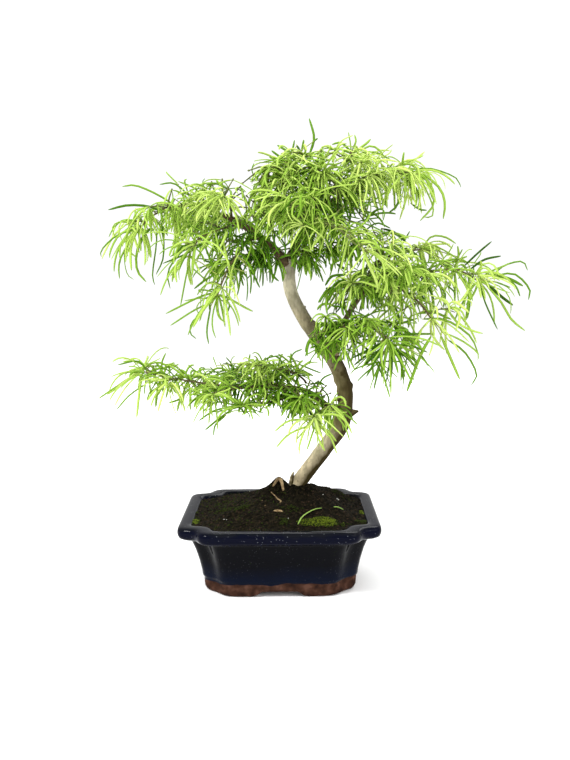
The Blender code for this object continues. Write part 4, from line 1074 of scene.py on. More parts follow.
def tube(path, radii, sides):
    points = []
    for place, radius, (_, side, other) in zip(path, radii, frames_along(path)):
        for i in range(sides):
            angle = math.tau * i / sides
            points.append(place + (side * math.cos(angle) + other * math.sin(angle)) * radius)
    return points, ring_faces(len(path), sides)


def smooth_tube(path, radii, steps, sides):
    """A tube on a smooth line through the points, with the radii shared out along it."""
    path = smooth_path(path, steps)
    return tube(path, shared_out(radii, len(path)), sides)


def bowed_tube(start, end, bow, radii, sides):
    """A tube whose middle is above the straight line from end to end, by a share of its length."""
    middle = start.lerp(end, 0.5) + UP * bow * (end - start).length
    return tube([start, middle, end], radii, sides)


# --- Needles -------------------------------------------------------------------------------------
def arcs(roots, outs, lengths, bends, hooks):
    """Places along needles of these lengths that set out, then bend, then hook at the tip."""
    share = np.array(BLADE_STATIONS)[None, :, None]
    along = outs[:, None] + 2 * bends[:, None] * share + 3 * hooks[:, None] * share**2
    along /= np.linalg.norm(along, axis=2, keepdims=True)
    steps = (along[:, 1:] + along[:, :-1]) / 2
    steps /= np.linalg.norm(steps, axis=2, keepdims=True)
    steps *= np.diff(BLADE_STATIONS)[None, :, None] * lengths[:, None, None]
    return np.concatenate((roots[:, None], roots[:, None] + np.cumsum(steps, axis=1)), axis=1)


def blades(places, widths, rolls):
    """Points and faces of narrow four-sided blades along these places, and a blade's face count."""
    count, stations = places.shape[:2]
    along = np.gradient(places, axis=1)
    along /= np.linalg.norm(along, axis=2, keepdims=True)
    first = np.cross(along[:, 0], (0.0, 0.0, 1.0)) + 1e-3 * np.array((1.0, 0.0, 0.0))
    side = np.repeat(first[:, None], stations, axis=1)
    side -= along * (side * along).sum(axis=2, keepdims=True)
    side /= np.linalg.norm(side, axis=2, keepdims=True)
    normal = np.cross(side, along)
    turn = rolls[:, None, None]
    side, normal = (
        side * np.cos(turn) + normal * np.sin(turn),
        normal * np.cos(turn) - side * np.sin(turn),
    )
    half = widths[:, None, None] * np.array(BLADE_PROFILE)[None, :, None] / 2
    thick = half * 2 * BLADE_THICKNESS
    corners = np.stack(
        (
            places - side * half,
            places - normal * thick * BLADE_KEEL,
            places + side * half,
            places + normal * thick * (1 - BLADE_KEEL),
        ),
        axis=2,
    )
    pattern = np.array(ring_faces(stations, 4))
    faces = pattern[None] + (np.arange(count) * 4 * stations)[:, None, None]
    return corners.reshape(-1, 3), faces.reshape(-1, 4), len(pattern)


def resampled(path):
    """A path's places at the blade's stations, by its length."""
    points = np.array([tuple(point) for point in path])
    reach = np.concatenate(((0.0,), np.cumsum(np.linalg.norm(np.diff(points, axis=0), axis=1))))
    shares = np.array(BLADE_STATIONS) * reach[-1]
    return np.stack([np.interp(shares, reach, points[:, axis]) for axis in range(3)], axis=1)


class Sprays:
    """The needles and the wood of one mass, gathered before any mesh is made."""

    def __init__(self, mass, bark, bark_tree):
        self.mass = mass
        self.random = random.Random(mass.name + "_fine")
        self.bark = bark
        self.bark_tree = bark_tree
        self.shade, self.fill, self.soft, self.wide, self.long = LOOKS[mass.name]
        self.swept = Vector(SWEPT.get(mass.name, (0, 0, 0)))
        low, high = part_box(mass.name)
        self.low = np.array((low - SHIFT) / MM) - REACH_MARGIN
        self.high = np.array((high - SHIFT) / MM) + REACH_MARGIN
        self.limit = LIMITS.get(mass.name, (0, 0, 1))
        self.twigs = (mass.stem, *mass.shoots)
        self.spots = [place for twig in self.twigs for place in twig.path]
        self.wood = Heap()
        self.places = []
        self.widths = []
        self.rolls = []
        self.tints = []

    def tone(self, place, kind):
        """How dark a whorl is: by its kind, and by painted shade low in the mass, beside the next
        limb and in the pools.
        """
        depth = (self.high[2] - place.z) / (self.high[2] - self.low[2])
        near = math.exp(-((self.bark_tree.find(place)[2] / NEAR_BOUGH) ** 2))
        # Painted shade: darker low in the mass and beside a limb, and the pools' painted light and
        # shade.
        shade = self.shade + LOW_PAINTED_SHADE * (depth - 0.5) + WHORL_SHADE[kind] + NEAR_BOUGH_PAINTED_SHADE * near
        for x, z, wide, change in POOLS:
            shade += change * math.exp(-((place.x - x) ** 2 + (place.z - z) ** 2) / wide**2)
        return shade + self.random.gauss(0, SPRAY_SHADE)

    def lay(self, places, width, roll, shade):
        """Takes in a needle. Its shade picks one of the greens."""
        self.places.append(places)
        self.widths.append(width)
        self.rolls.append(roll)
        self.tints.append(min(max(round(shade * (len(GREENS) - 1)), 0), len(GREENS) - 1))

    def add(self, places, tone):
        width = self.random.uniform(*BLADE_WIDTH) * self.wide
        roll = self.random.uniform(-BLADE_ROLL, BLADE_ROLL)
        self.lay(places, width, roll, tone + self.random.gauss(0, NEEDLE_SHADE))

    def bounded(self, places):
        by_x, by_z, limit = self.limit
        return (places[:, 0] * by_x + places[:, 2] * by_z < limit).all()

    def clear(self, places):
        """Whether places stay near the mass's node, inside its limit and off the limbs."""
        if (places < self.low).any() or (places > self.high).any() or not self.bounded(places):
            return False
        for place in places:
            _, index, distance = self.bark_tree.find(Vector(place))
            if distance < self.bark[index][1] + BARK_CLEARANCE:
                return False
        return True

    def arc(self, root, out, length, fall):
        """Places along a needle, with a fall, a sideways curl and a hook of its own."""
        level = out.cross(UP)
        level = level.normalized() if level.length > 1e-3 else Vector((1, 0, 0))
        bend = level * self.random.gauss(0, CURL) - UP * fall
        flat = Vector((out.x, out.y, 0))
        hook = level * self.random.gauss(0, HOOK) - flat * abs(self.random.gauss(0, HOOK))
        hook -= UP * self.random.gauss(HOOK_FALL, HOOK)
        rows = [np.array([value]) for value in (root, out, length, bend, hook * self.soft)]
        return arcs(*rows)[0]

    def whorl(self, place, axis, twig, kind, size, tone, count=None):
        """Needles set round a spur by the golden angle, each skipped where it has no room."""
        plan = self.mass.plan
        turn = axis.to_track_quat("Z", "Y").to_matrix()
        start = self.random.uniform(0, math.tau)
        at_tip = kind in ("tip", "twiglet")
        count = count or round(WHORL[kind] * self.fill)
        for index in range(count):
            height = 1 - WHORL_DEPTH * (index + 0.5) / count
            angle = start + index * GOLDEN_ANGLE
            flat = math.sqrt(max(0.0, 1 - height**2))
            out = turn @ Vector((flat * math.cos(angle), flat * math.sin(angle), height))
            stray = Vector([self.random.gauss(0, WHORL_STRAY) for _ in range(3)])
            out = (out + stray + self.swept).normalized()
            too_high = out.z > 1.0 - HANG_SHADE * plan["hang"]
            if too_high or (not at_tip and abs(out.dot(twig)) > MOST_ALONG_TWIG):
                continue
            length = plan["needle"] * size * self.long * self.random.uniform(*FINE_SPREAD)
            fall = self.random.uniform(*BEND) * self.soft
            places = self.arc(place + out * WHORL_RADIUS, out, length, fall)
            if self.clear(places[TRIED]):
                self.add(places, tone)

    def add_spur(self, place, axis):
        """A short barrel of bud scales, at the foot of a whorl."""
        path = [place + axis * step for step in SPUR_PATH]
        self.wood.add(*tube(path, SPUR_RADII, SPUR_SIDES), YOUNG)

    def add_twigs(self):
        """The stem and the shoots, up to where the mass is bounded."""
        young = self.mass.name in YOUNG_STEMS
        slim = YOUNG_STEMS.get(self.mass.name, TWIG_SLIMNESS)
        for twig in self.twigs:
            radii = [radius * slim for radius in twig.radii]
            kind = GREEN if young else OLD if twig is self.mass.stem else YOUNG
            kept = sum(self.bounded(np.array([place])) for place in twig.path)
            if kept > 2:
                self.wood.add(*tube(twig.path[:kept], radii[:kept], TWIG_SIDES), kind)

    def add_rosettes(self):
        """The source's needles with a bend, and a whorl round each of its hubs."""
        for rosette in self.mass.rosettes:
            kind = "tip" if rosette.at_tip else "spur"
            tone = self.tone(rosette.place, kind)
            for needle in rosette.needles:
                fall = needle["sag"] + SOURCE_BEND * self.soft
                root = Vector(needle["places"][0])
                places = self.arc(root, needle["out"], needle["length"], fall)
                if self.bounded(places):
                    self.add(places, tone)
            self.whorl(rosette.place, rosette.axis, rosette.twig, kind, rosette.size, tone)
            if self.bounded(np.array([rosette.place])):
                self.add_spur(rosette.place, rosette.axis)

    def add_twiglets(self, twig, first):
        """Twiglets on a twig's two sides by turns, each with a whorl at its end."""
        for index in range(int((twig.length - first) / TWIGLET_SPACING)):
            place, along, _ = twig.at((first + TWIGLET_SPACING * (index + 0.5)) / twig.length)
            angle = math.radians(self.random.uniform(*TWIGLET_ANGLE)) * (1 if index % 2 else -1)
            level = Vector((along.x, along.y, 0.001)).normalized()
            rise = UP * self.random.uniform(*TWIGLET_RISE)
            out = (Matrix.Rotation(angle, 3, "Z") @ level + rise).normalized()
            end = place + out * self.random.uniform(*TWIGLET_LENGTH)
            if not self.clear(np.array([end])):
                continue
            twiglet = bowed_tube(place, end, TWIGLET_BOW, TWIGLET_RADII, TWIGLET_SIDES)
            self.wood.add(*twiglet, YOUNG)
            self.whorl(end, out, out, "twiglet", TWIGLET_SIZE, self.tone(end, "twiglet"))

    def add_fine_spurs(self, twig, first):
        """Spurs close together all round a twig."""
        for index in range(int((twig.length - first) / FINE_SPUR_SPACING)):
            place, along, radius = twig.at((first + FINE_SPUR_SPACING * index) / twig.length)
            across = along.orthogonal().normalized()
            across = Matrix.Rotation(self.random.uniform(0, math.tau), 3, along) @ across
            across = (across + UP * FINE_SPUR_RISE).normalized()
            tone = self.tone(place, "fine_spur")
            spot = place + across * radius
            self.whorl(spot, across, along, "fine_spur", FINE_SPUR_SIZE, tone)
            self.add_spur(place + across * radius * FINE_SPUR_DEPTH, across)

    def add_fills(self):
        """The FILLS table's whorls, each on a twig from the nearest point of the mass's own."""
        for *place, shade, count in FILLS.get(self.mass.name, ()):
            place = Vector(place)
            spot = min(self.spots, key=lambda at: (at - place).length)
            out = (place - spot).normalized()
            twig = bowed_tube(spot, place, FILL_BOW, FILL_RADII, SPUR_SIDES)
            self.wood.add(*twig, YOUNG)
            self.add_spur(place, out)
            # The table's dark shades are painted shade inside the crown.
            tone = shade / 100 + self.random.gauss(0, SPRAY_SHADE / 2)
            self.whorl(place, out, out, "twiglet", 1.0, tone, count)

    def add_leaders(self):
        """The needles that lead the mass's outline, each from a bud that the nearest twig bears."""
        depth, rows = LEADERS.get(self.mass.name, (0, ()))
        for shade, width, *line in rows:
            flat = list(zip(line[::2], line[1::2]))
            root = Vector((flat[0][0], depth, flat[0][1]))
            spot = min(self.spots, key=lambda at: ((at - root) * LEADER_NEARNESS).length)
            root.y = min(max(spot.y, depth - LEADER_DEPTH), depth + LEADER_DEPTH)
            span = math.dist(flat[0], flat[-1])
            drift = self.random.uniform(-LEADER_DRIFT, LEADER_DRIFT) * span
            last = len(flat) - 1
            path = [Vector((x, root.y + drift * i / last, z)) for i, (x, z) in enumerate(flat)]
            path = smooth_path(path, LEADER_STEPS)
            out = (path[1] - path[0]).normalized()
            if (spot - path[0]).length > LEAST_LEADER_TWIG:
                twig = bowed_tube(spot, path[0], LEADER_BOW, LEADER_TWIG_RADII, TWIGLET_SIDES)
                self.wood.add(*twig, GREEN)
            bud = tube([path[0] - out, path[0] + out], LEADER_BUD_RADII, TWIGLET_SIDES)
            self.wood.add(*bud, GREEN)
            roll = self.random.uniform(*LEADER_ROLL)
            self.lay(resampled(path), width * LEADER_WIDTH, roll, shade / 100)

    def grow(self):
        """Everything in turn. All of it draws from one run of random numbers."""
        self.add_twigs()
        self.add_rosettes()
        for twig in self.twigs:
            share = FIRST_TWIGLET if twig is self.mass.stem else FIRST_ON_SHOOT
            self.add_twiglets(twig, share * twig.length)
            self.add_fine_spurs(twig, share * twig.length)
        self.add_fills()
        self.add_leaders()


def add_foliage(masses, bark):
    greens = [plain("needle_" + name, color, *NEEDLE_GLOSS) for name, color in GREENS.items()]
    woods = [mottled(name, *look) for name, look in TWIG_LOOKS.items()]
    bark_tree = tree_of([place for place, _ in bark])
    for mass in masses:
        sprays = Sprays(mass, bark, bark_tree)
        sprays.grow()
        needles = (np.array(rows) for rows in (sprays.places, sprays.widths, sprays.rolls))
        points, faces, per_blade = blades(*needles)
        tints = np.repeat(sprays.tints, per_blade)
        name = mass.name
        add_piece(name + "_needles", points, faces.tolist(), greens, tints, replaced=[name])
        for kind, path, radii in EXTRA_TWIGS.get(name, ()):
            sprays.wood.add(*smooth_tube(path, radii, TWIG_STEPS, TWIG_SIDES), kind)
        sprays.wood.piece(name + "_twigs", woods, slot="bark", replaced=[name])


# --- Bark ----------------------------------------------------------------------------------------
VISIBLE_FLARE = 0.45  # of the source's flare, since the soil hides the rest
STUBS = (
    (((63, 7, 154), (68, 7, 155.5), (72, 7, 156.5), (74.5, 7, 157)), (4.2, 3.6, 2.0, 0.7)),
    (((21, -1, 252.5), (24.5, -1.5, 254.5), (25.5, -1.5, 255.5)), (2.2, 1.6, 0.8)),
    (((10.5, 8, 78), (10.8, 7.6, 88), (11.6, 7.4, 94), (13.2, 7.6, 99)), (2.6, 2.2, 1.8, 0.8)),
    (((57, 3, 170), (52, 3, 168.5), (50.6, 3, 168)), (2.4, 1.6, 0.8)),
)
STUB_STEPS, STUB_SIDES = 3, 14
# How far a bough swells at its foot, and over what length the swelling dies away.
COLLARS = {"crown_bough": 0.12}
OTHER_COLLARS = 0.35
COLLAR_FALL = 5.0
INNER_RINGS = (COLLAR_LENGTH, 4.5, 2.0)  # how far a bough's inner rings lie back from its start
# The bark's relief: how fine its noise is across and along Z, and its height for each radius.
BARK_RELIEF = ((0.11, 0.11, 0.055), (0.55, 0.16, 0.02), (1.1, 1.1, 0.010))
KNOT_STEEPNESS = 1.5
KNOT_END = 2  # times its width
BOUGH_STOPS = (0.30, 0.50, 0.72)
# Boughs' barks: the name, and the darkest and the lightest colour.
BOUGH_BARKS = {
    "left_bough": ("left_bough_bark", (0.035, 0.020, 0.010), (0.180, 0.120, 0.068)),
    "crown_bough": ("crown_bough_bark", (0.020, 0.016, 0.006), (0.090, 0.070, 0.034)),
    "lower_left_bough": ("low_bough_bark", (0.026, 0.020, 0.008), (0.100, 0.080, 0.032)),
    "right_bough": ("right_bough_bark", (0.090, 0.060, 0.032), (0.280, 0.215, 0.130)),
}
# Old bark by height, from the soil to the trunk's top.
TRUNK_LOW, TRUNK_HIGH = 66.0, 330.0
TRUNK_TONES = (
    (0.00, (0.50, 0.38, 0.20)), (0.10, (0.92, 0.76, 0.50)), (0.22, (0.92, 0.80, 0.54)),
    (0.30, (0.30, 0.250, 0.120)), (0.42, (0.24, 0.200, 0.090)), (0.49, (0.40, 0.340, 0.200)),
    (0.56, (0.46, 0.400, 0.250)), (0.66, (0.62, 0.530, 0.350)), (0.75, (0.84, 0.750, 0.550)),
    (0.86, (0.90, 0.820, 0.640)), (0.96, (0.60, 0.530, 0.350)),
)
# The broad, middle and fine grain's fineness, stretch along Z and detail.
TRUNK_GRAINS = ((38.0, 1.0, 3.0), (110.0, 0.5, 4.0), (420.0, 0.5, 5.0))
PAINTED_BARK_SHADE = (0.036, 0.026, 0.007)  # the painted shade that the trunk's tones turn to on its shaded side
TONE_SHIFT = (-0.08, 0.92)  # where the trunk's two ends lie among the tones, before TONE_SWING
TONE_SWING = (0.03, 0.13)
PAINTED_SHADE_SIDE = (0.86, -0.05, -0.50)  # the way that the side with painted shade looks, away from the light
PAINTED_SHADE_SWING = (-0.18, 0.18)
PAINTED_SHADE_RANGE = (-0.78, 0.44)  # from no painted shade to full painted shade
EVENLY_LIT = (215, 270)  # over these heights the painted shade fades out, as far as LEAST_LIT
LEAST_LIT = 0.62
# What the middle and the fine grain leave of the trunk's colour: from, to and the least left.
BARK_GRAINS = ((0.38, 0.58, 0.66), (0.40, 0.54, 0.76))
STAIN_WARP = 2.4  # how far a stain's edge wanders, and how finely
STAIN_WARP_SCALE = 330.0
STAIN_EDGE = (0.55, 1.25)  # where a stain ends, for each of its widths
BARK_BUMP = (0.35, 0.4 * MM)


def limb_surface(limb, sides, flared, collar):
    """Points and faces of a limb's surface with relief, and a bough's with its collar."""
    points = []
    side = Vector((1, 0, 0))
    samples = limb.samples(BARK_SPACING)
    if not flared:
        place, along, radius = samples[0]
        samples = [(place - along * back, along, radius) for back in INNER_RINGS] + samples
    reached = 0.0
    before = samples[0][0]
    for place, along, radius in samples:
        reached += (place - before).length
        before = place
        flare = 0.0
        if flared:
            low = max(0.0, 1 - (place.z - limb.path[0].z) / FLARE_HEIGHT)
            flare = low**2 * VISIBLE_FLARE
            along = along.lerp(UP, low).normalized()
        else:
            past = max(0, reached - COLLAR_LENGTH) / COLLAR_FALL
            radius *= 1 + collar * math.exp(-(past**2))
        side = (side - along * side.dot(along)).normalized()
        other = along.cross(side)
        for i in range(sides):
            angle = math.tau * i / sides
            out = side * math.cos(angle) + other * math.sin(angle)
            lobe = 1 + ROOT_LOBE_DEPTH * math.cos(angle * ROOT_LOBES + ROOT_LOBE_TURN)
            spot = place + out * (radius + FLARE_SPREAD * flare * lobe)
            relief = 0.0
            for across, up, high in BARK_RELIEF:
                relief += noise.noise(spot * Vector((across, across, up))) * high * radius
            if flared:
                for centre, width, height in KNOTS:
                    near = math.dist(spot, centre) / width
                    if near < KNOT_END:
                        relief += height * math.exp(-((near * KNOT_STEEPNESS) ** 2))
            points.append(spot + out * relief)
    return points, ring_faces(len(samples), sides)


def bough_bark(name, dark, light):
    middle = tuple((low + high) / 2 for low, high in zip(dark, light))
    tones = tuple(zip(BOUGH_STOPS, (dark, middle, light)))
    return mottled(name, tones, 260.0, 0.8, 0.1, bump=0.5)


def trunk_bark():
    """Tan, olive and beige bark by height, with painted shade below and on one side, and knots'
    stains.
    """
    look = Look("trunk_bark")
    broad, middle, fine = (
        look.grain(scale, stretch=stretch, Detail=detail) for scale, stretch, detail in TRUNK_GRAINS
    )
    height = look.axis("Z")
    level = look.ranged(height, TRUNK_LOW * MM, TRUNK_HIGH * MM, *TONE_SHIFT)
    level = look.calculated("ADD", level, look.swung(broad, *TONE_SWING))
    # Painted shade: the bark darkens on the side that faces away from the light, less so high up.
    side = look.vector("DOT_PRODUCT", "Value", look.place("Normal"), PAINTED_SHADE_SIDE)
    side = look.calculated("ADD", side, look.swung(broad, *PAINTED_SHADE_SWING))
    painted_shade_and_stains = look.ranged(side, *PAINTED_SHADE_RANGE, 1.0, 0.0)
    low, high = EVENLY_LIT
    evenly = look.ranged(height, low * MM, high * MM, 0.0, LEAST_LIT)
    painted_shade_and_stains = look.calculated("MAXIMUM", painted_shade_and_stains, evenly)
    for grain, limits in zip((middle, fine), BARK_GRAINS):
        painted_shade_and_stains = look.calculated("MULTIPLY", painted_shade_and_stains, look.ranged(grain, *limits, 1.0))
    warp, step = look.grain(STAIN_WARP_SCALE, "Color"), (STAIN_WARP * MM,) * 3
    pushed = look.vector("MULTIPLY_ADD", "Vector", warp, step, look.place())
    for centre, width, left in STAINS:
        spot = Vector(centre) * MM + SHIFT + Vector(step) / 2
        away = look.vector("DISTANCE", "Value", pushed, spot)
        inner, outer = (edge * width * MM for edge in STAIN_EDGE)
        painted_shade_and_stains = look.calculated("MULTIPLY", painted_shade_and_stains, look.ranged(away, inner, outer, left, 1.0))
    color = look.mixed(painted_shade_and_stains, (*PAINTED_BARK_SHADE, 1), look.toned(level, TRUNK_TONES))
    normal = look.bump(fine, *BARK_BUMP)
    return look.done(Base_Color=color, Roughness=0.75, Specular_IOR_Level=0.08, Normal=normal)


def add_bark(limbs):
    for name, limb in limbs.items():
        trunk = name == "trunk"
        bark = trunk_bark() if trunk else bough_bark(*BOUGH_BARKS[name])
        sides = BARK_SIDES if trunk else BOUGH_SIDES
        heap = Heap()
        heap.add(*limb_surface(limb, sides, trunk, COLLARS.get(name, OTHER_COLLARS)))
        for path, radii in STUBS if trunk else ():
            heap.add(*smooth_tube(path, radii, STUB_STEPS, STUB_SIDES))
        heap.piece(name + "_bark", [bark], slot="bark", replaced=[name])


# --- Pot -----------------------------------------------------------------------------------------
OUTLINE_POINTS = 320
EASED_AT_RIM, EASED_AT_FOOT = 4.2, 8.0  # how softly the outline's corners wave, in mm
SECTION_STEP = 2.2
MOST_SECTION_STEPS = 5
SHARP = 4.0  # the most that a bend of the section is rounded over
GLAZE_END = 14.4  # the height at which the glaze's tones begin
GLAZE_TONES = (
    (0.02, (0.0022, 0.0042, 0.0125)), (0.12, (0.0022, 0.0035, 0.0095)),
    (0.34, (0.0024, 0.0026, 0.0040)), (0.72, (0.0024, 0.0026, 0.0036)),
    (0.82, (0.0014, 0.0020, 0.0085)), (0.94, (0.0014, 0.0020, 0.0080)),
    (1.00, (0.0050, 0.0055, 0.0080)),
)
GLAZE_SWING = 0.04
# How fine the noise is for the glaze's tones, the specks, their patches, the clay and the bumps.
TONE_SCALE, SPECK_SCALE, PATCH_SCALE, CLAY_SCALE, BUMP_SCALE = 55.0, 420.0, 48.0, 150.0, 90.0
# Pale specks: their colour, their edge in a cell, where patches of them are, and how they thin out
# lower down.
SPECK = (0.16, 0.17, 0.19)
SPECK_EDGE = (0.15, 0.09)
SPECK_PATCHES = (0.42, 0.56)
SPECKS_BY_LEVEL = (0.60, 0.85, 0.25, 1.0)
CLAY_TONES = (
    (0.30, (0.016, 0.007, 0.005)), (0.50, (0.042, 0.018, 0.011)), (0.70, (0.085, 0.040, 0.027)),
)
GLAZE_SLOPE = 3.0  # how much higher the glaze ends on the right than in the middle, over 100 mm
GLAZE_DRIP = 1.3
GLAZE_LINE = (13.0, 13.6)  # from bare clay to glaze
CLAY_ROUGHNESS, GLAZE_ROUGHNESS = 0.8, 0.07
GLAZE_IOR = 1.125
GLAZE_BUMP = (0.10, MM)


def soft_outline(inset, height, count=OUTLINE_POINTS):
    """The pot's outline with the steps of its corners eased into a wave, by a Gaussian blur."""
    points = np.array([tuple(point) for point in pot_outline(inset, height)])
    loop = np.vstack((points, points[:1]))
    reach = np.concatenate(((0.0,), np.cumsum(np.linalg.norm(np.diff(loop, axis=0), axis=1))))
    places = np.linspace(0, reach[-1], count, endpoint=False)
    even = np.interp(places, reach, loop[:, 0]) + 1j * np.interp(places, reach, loop[:, 1])
    low = 1 - min(max(height / POT_HEIGHT, 0), 1)
    eased = (EASED_AT_RIM + (EASED_AT_FOOT - EASED_AT_RIM) * low) * count / reach[-1]
    blur = np.exp(-2 * (math.pi * np.fft.fftfreq(count) * eased) ** 2)
    even = np.fft.ifft(np.fft.fft(even) * blur)
    return [Vector((place.real, place.imag, height)) for place in even]


def fine_sections():
    """The pot's sections with more steps between them, on a smooth line where the source bends."""
    corners = [Vector((inset, height, 0)) for inset, height in POT_SECTIONS]
    fine = []
    for before, start, end, after in zip(
        [corners[0], *corners], corners, corners[1:], [*corners[2:], corners[-1]]
    ):
        run = end - start
        steps = max(1, min(MOST_SECTION_STEPS, round(run.length / SECTION_STEP)))
        into = (start - before if start != before else run).normalized()
        out = (after - end if after != end else run).normalized()
        reach = min(run.length, SHARP)
        first = start + (into + run.normalized()).normalized() * reach / 3
        last = end - (out + run.normalized()).normalized() * reach / 3
        for step in range(steps):
            t = step / steps
            fine.append(
                start * (1 - t) ** 3 + first * 3 * t * (1 - t) ** 2
                + last * 3 * t**2 * (1 - t) + end * t**3
            )
    fine.append(corners[-1])
    return [(place.x, place.y) for place in fine]


def pot_material():
    """Near-black glaze, navy on the rim's face and towards the foot, that ends above bare clay."""
    look = Look("glazed_stoneware")
    broad = look.grain(TONE_SCALE)
    level = look.ranged(look.axis("Z"), GLAZE_END * MM, POT_HEIGHT * MM)
    level = look.calculated("ADD", level, look.swung(broad, -GLAZE_SWING, GLAZE_SWING))
    cells = look.node("TexVoronoi", "Distance", {"Vector": look.place(), "Scale": SPECK_SCALE})
    specks = look.ranged(cells, *SPECK_EDGE)
    patches = look.ranged(look.grain(PATCH_SCALE), *SPECK_PATCHES)
    for share in (patches, look.ranged(level, *SPECKS_BY_LEVEL)):
        specks = look.calculated("MULTIPLY", specks, share)
    glaze = look.mixed(specks, look.toned(level, GLAZE_TONES), (*SPECK, 1))
    clay = look.toned(look.grain(CLAY_SCALE), CLAY_TONES)
    drip = look.swung(broad, -GLAZE_DRIP * MM, GLAZE_DRIP * MM)
    slope = look.ranged(look.axis("X"), -0.1, 0.1, GLAZE_SLOPE * MM, -GLAZE_SLOPE * MM)
    end = look.calculated("ADD", look.calculated("ADD", drip, look.axis("Z")), slope)
    glazed = look.ranged(end, *(height * MM for height in GLAZE_LINE))
    return look.done(
        Base_Color=look.mixed(glazed, clay, glaze),
        Roughness=look.ranged(glazed, 0.0, 1.0, CLAY_ROUGHNESS, GLAZE_ROUGHNESS),
        Normal=look.bump(look.grain(BUMP_SCALE), *GLAZE_BUMP),
        IOR=GLAZE_IOR,
    )


def add_pot_looks():
    stoneware = pot_material()
    rings = [soft_outline(inset, height) for inset, height in fine_sections()]
    points = [point for ring in rings for point in ring]
    faces = ring_faces(len(rings), len(rings[0]))
    pot = add_piece("pot_body", points, faces, [stoneware], slot="glaze", replaced=["pot"])
    shape = bmesh.new()
    shape.from_mesh(pot.data)
    bmesh.ops.recalc_face_normals(shape, faces=shape.faces)
    shape.to_mesh(pot.data)
    shape.free()
    cutters = bpy.data.collections.new("cutters")
    bpy.context.scene.collection.children.link(cutters)
    foot_inset = POT_SECTIONS[-1][0] + FOOT_RING_WIDTH
    recess_x = POT_HALF_WIDTH - foot_inset
    recess_y = POT_HALF_DEPTH - foot_inset
    recess = (recess_x, recess_x, FOOT_RING_HEIGHT)
    add_gap_cutter("gap_front_to_back", *FRONT_GAP, 2 * POT_HALF_DEPTH, 0.0, cutters)
    add_gap_cutter("gap_side_to_side", *SIDE_GAP, 2 * POT_HALF_WIDTH, math.pi / 2, cutters)
    add_gap_cutter("gap_in_foot_ring", *recess, recess_y, 0.0, cutters)
    for cutter in cutters.objects:
        cutter.location = SHIFT
        cutter.data.materials.append(stoneware)
        cut = pot.modifiers.new(cutter.name, "BOOLEAN")
        cut.operation = "DIFFERENCE"
        cut.object = cutter
    bpy.context.view_layer.update()
    graph = bpy.context.evaluated_depsgraph_get()
    pot.data = bpy.data.meshes.new_from_object(pot.evaluated_get(graph))
    pot.modifiers.clear()
    for cutter in list(cutters.objects):
        bpy.data.objects.remove(cutter)
    bpy.data.collections.remove(cutters)


# --- Soil ----------------------------------------------------------------------------------------
VISIBLE_EDGE = (11.4, 63.4)  # the inset and height at which the visible soil meets the pot
SKIRT = 3.0  # how far the surface's edge runs on below that, inside the pot
SOIL_SIDES = 160
SOIL_RINGS = 30
MOUND_TOP = 4.0  # the innermost ring's radius
# Humps and roughness come in over a fifth and an eighth of the way from the edge.
HUMPS_COME_IN = 5
ROUGHNESS_COMES_IN = 8
# The soil's unevenness: how fine its noise is, and its height.
SWELL = (0.09, 1.1)
SOIL_NOISE = ((0.35, 0.8), (0.9, 0.5))
SOIL_NOISE_HEIGHT = 1.3
HUMPS = (
    ((-1, 12), 8.5, 12.0), ((31, 12), 12, 4.0), ((52, 34), 15, 4.0), ((-14, 9), 8, 4.0),
    ((16, 5), 12, 7.0),
)
EARTH, BROWN, BLACK, GREEN_MOSS, DARK_MOSS, PALE, ROOT = range(7)
EARTH_TONES = (
    (0.34, (0.002, 0.0018, 0.001)), (0.50, (0.006, 0.0048, 0.0022)),
    (0.64, (0.016, 0.0115, 0.006)), (0.82, (0.042, 0.028, 0.018)),
)
ROOT_TONES = ((0.35, (0.10, 0.06, 0.025)), (0.65, (0.42, 0.30, 0.16)))
CORNER_ROOM = (21, 17)  # the pot's corners, which crumbs stay out of
ABOVE_SOIL = 200  # the height that crumbs are dropped from
CRUMBS = 5200
CRUMB_SIZES = (0.4, 0.5, 0.6, 0.8, 1.2)
# On the left, where x is below this, a few of the crumbs are mossy.
MOSSY_SIDE = 10
MOSSY_CRUMBS = (BROWN, BLACK, BLACK, DARK_MOSS)
BARE_CRUMBS = (BROWN, BLACK, BLACK, BLACK)
# Moss cushions: the middle, the half-widths, how many crumbs and their tone.
MOSS = (
    ((38, -42), (23, 6.5), 1900, GREEN_MOSS), ((54, -43), (12, 5), 260, DARK_MOSS),
    ((73, -34), (7, 7), 160, DARK_MOSS), ((-76, -28), (4.5, 9), 260, GREEN_MOSS),
    ((-62, -46), (10, 3), 120, DARK_MOSS), ((-34, -18), (10, 5), 170, DARK_MOSS),
    ((-50, -10), (12, 6), 130, DARK_MOSS), ((5, -42), (6, 5), 170, DARK_MOSS),
    ((12, -26), (12, 5), 120, DARK_MOSS), ((-52, 14), (14, 8), 110, DARK_MOSS),
    ((60, 24), (14, 8), 90, DARK_MOSS), ((77, -8), (3, 8), 110, GREEN_MOSS),
)
MOSS_HEIGHT = 0.9  # in a cushion's middle
MOSS_SIZES = (0.4, 0.95)
MOSS_SQUASH = 0.6
# A cushion ends at a share of its half-widths that a noise and chance move in and out. The noise is
# read on one slice, closer together along Y.
MOSS_END = 0.85
MOSS_FRAY = 0.25
MOSS_NOISE = (0.16, 0.9)
MOSS_SLICE = 7
MOSS_ALONG_Y = 1.6
MOST_GREEN = 0.75  # the share of a cushion's own tone in its middle
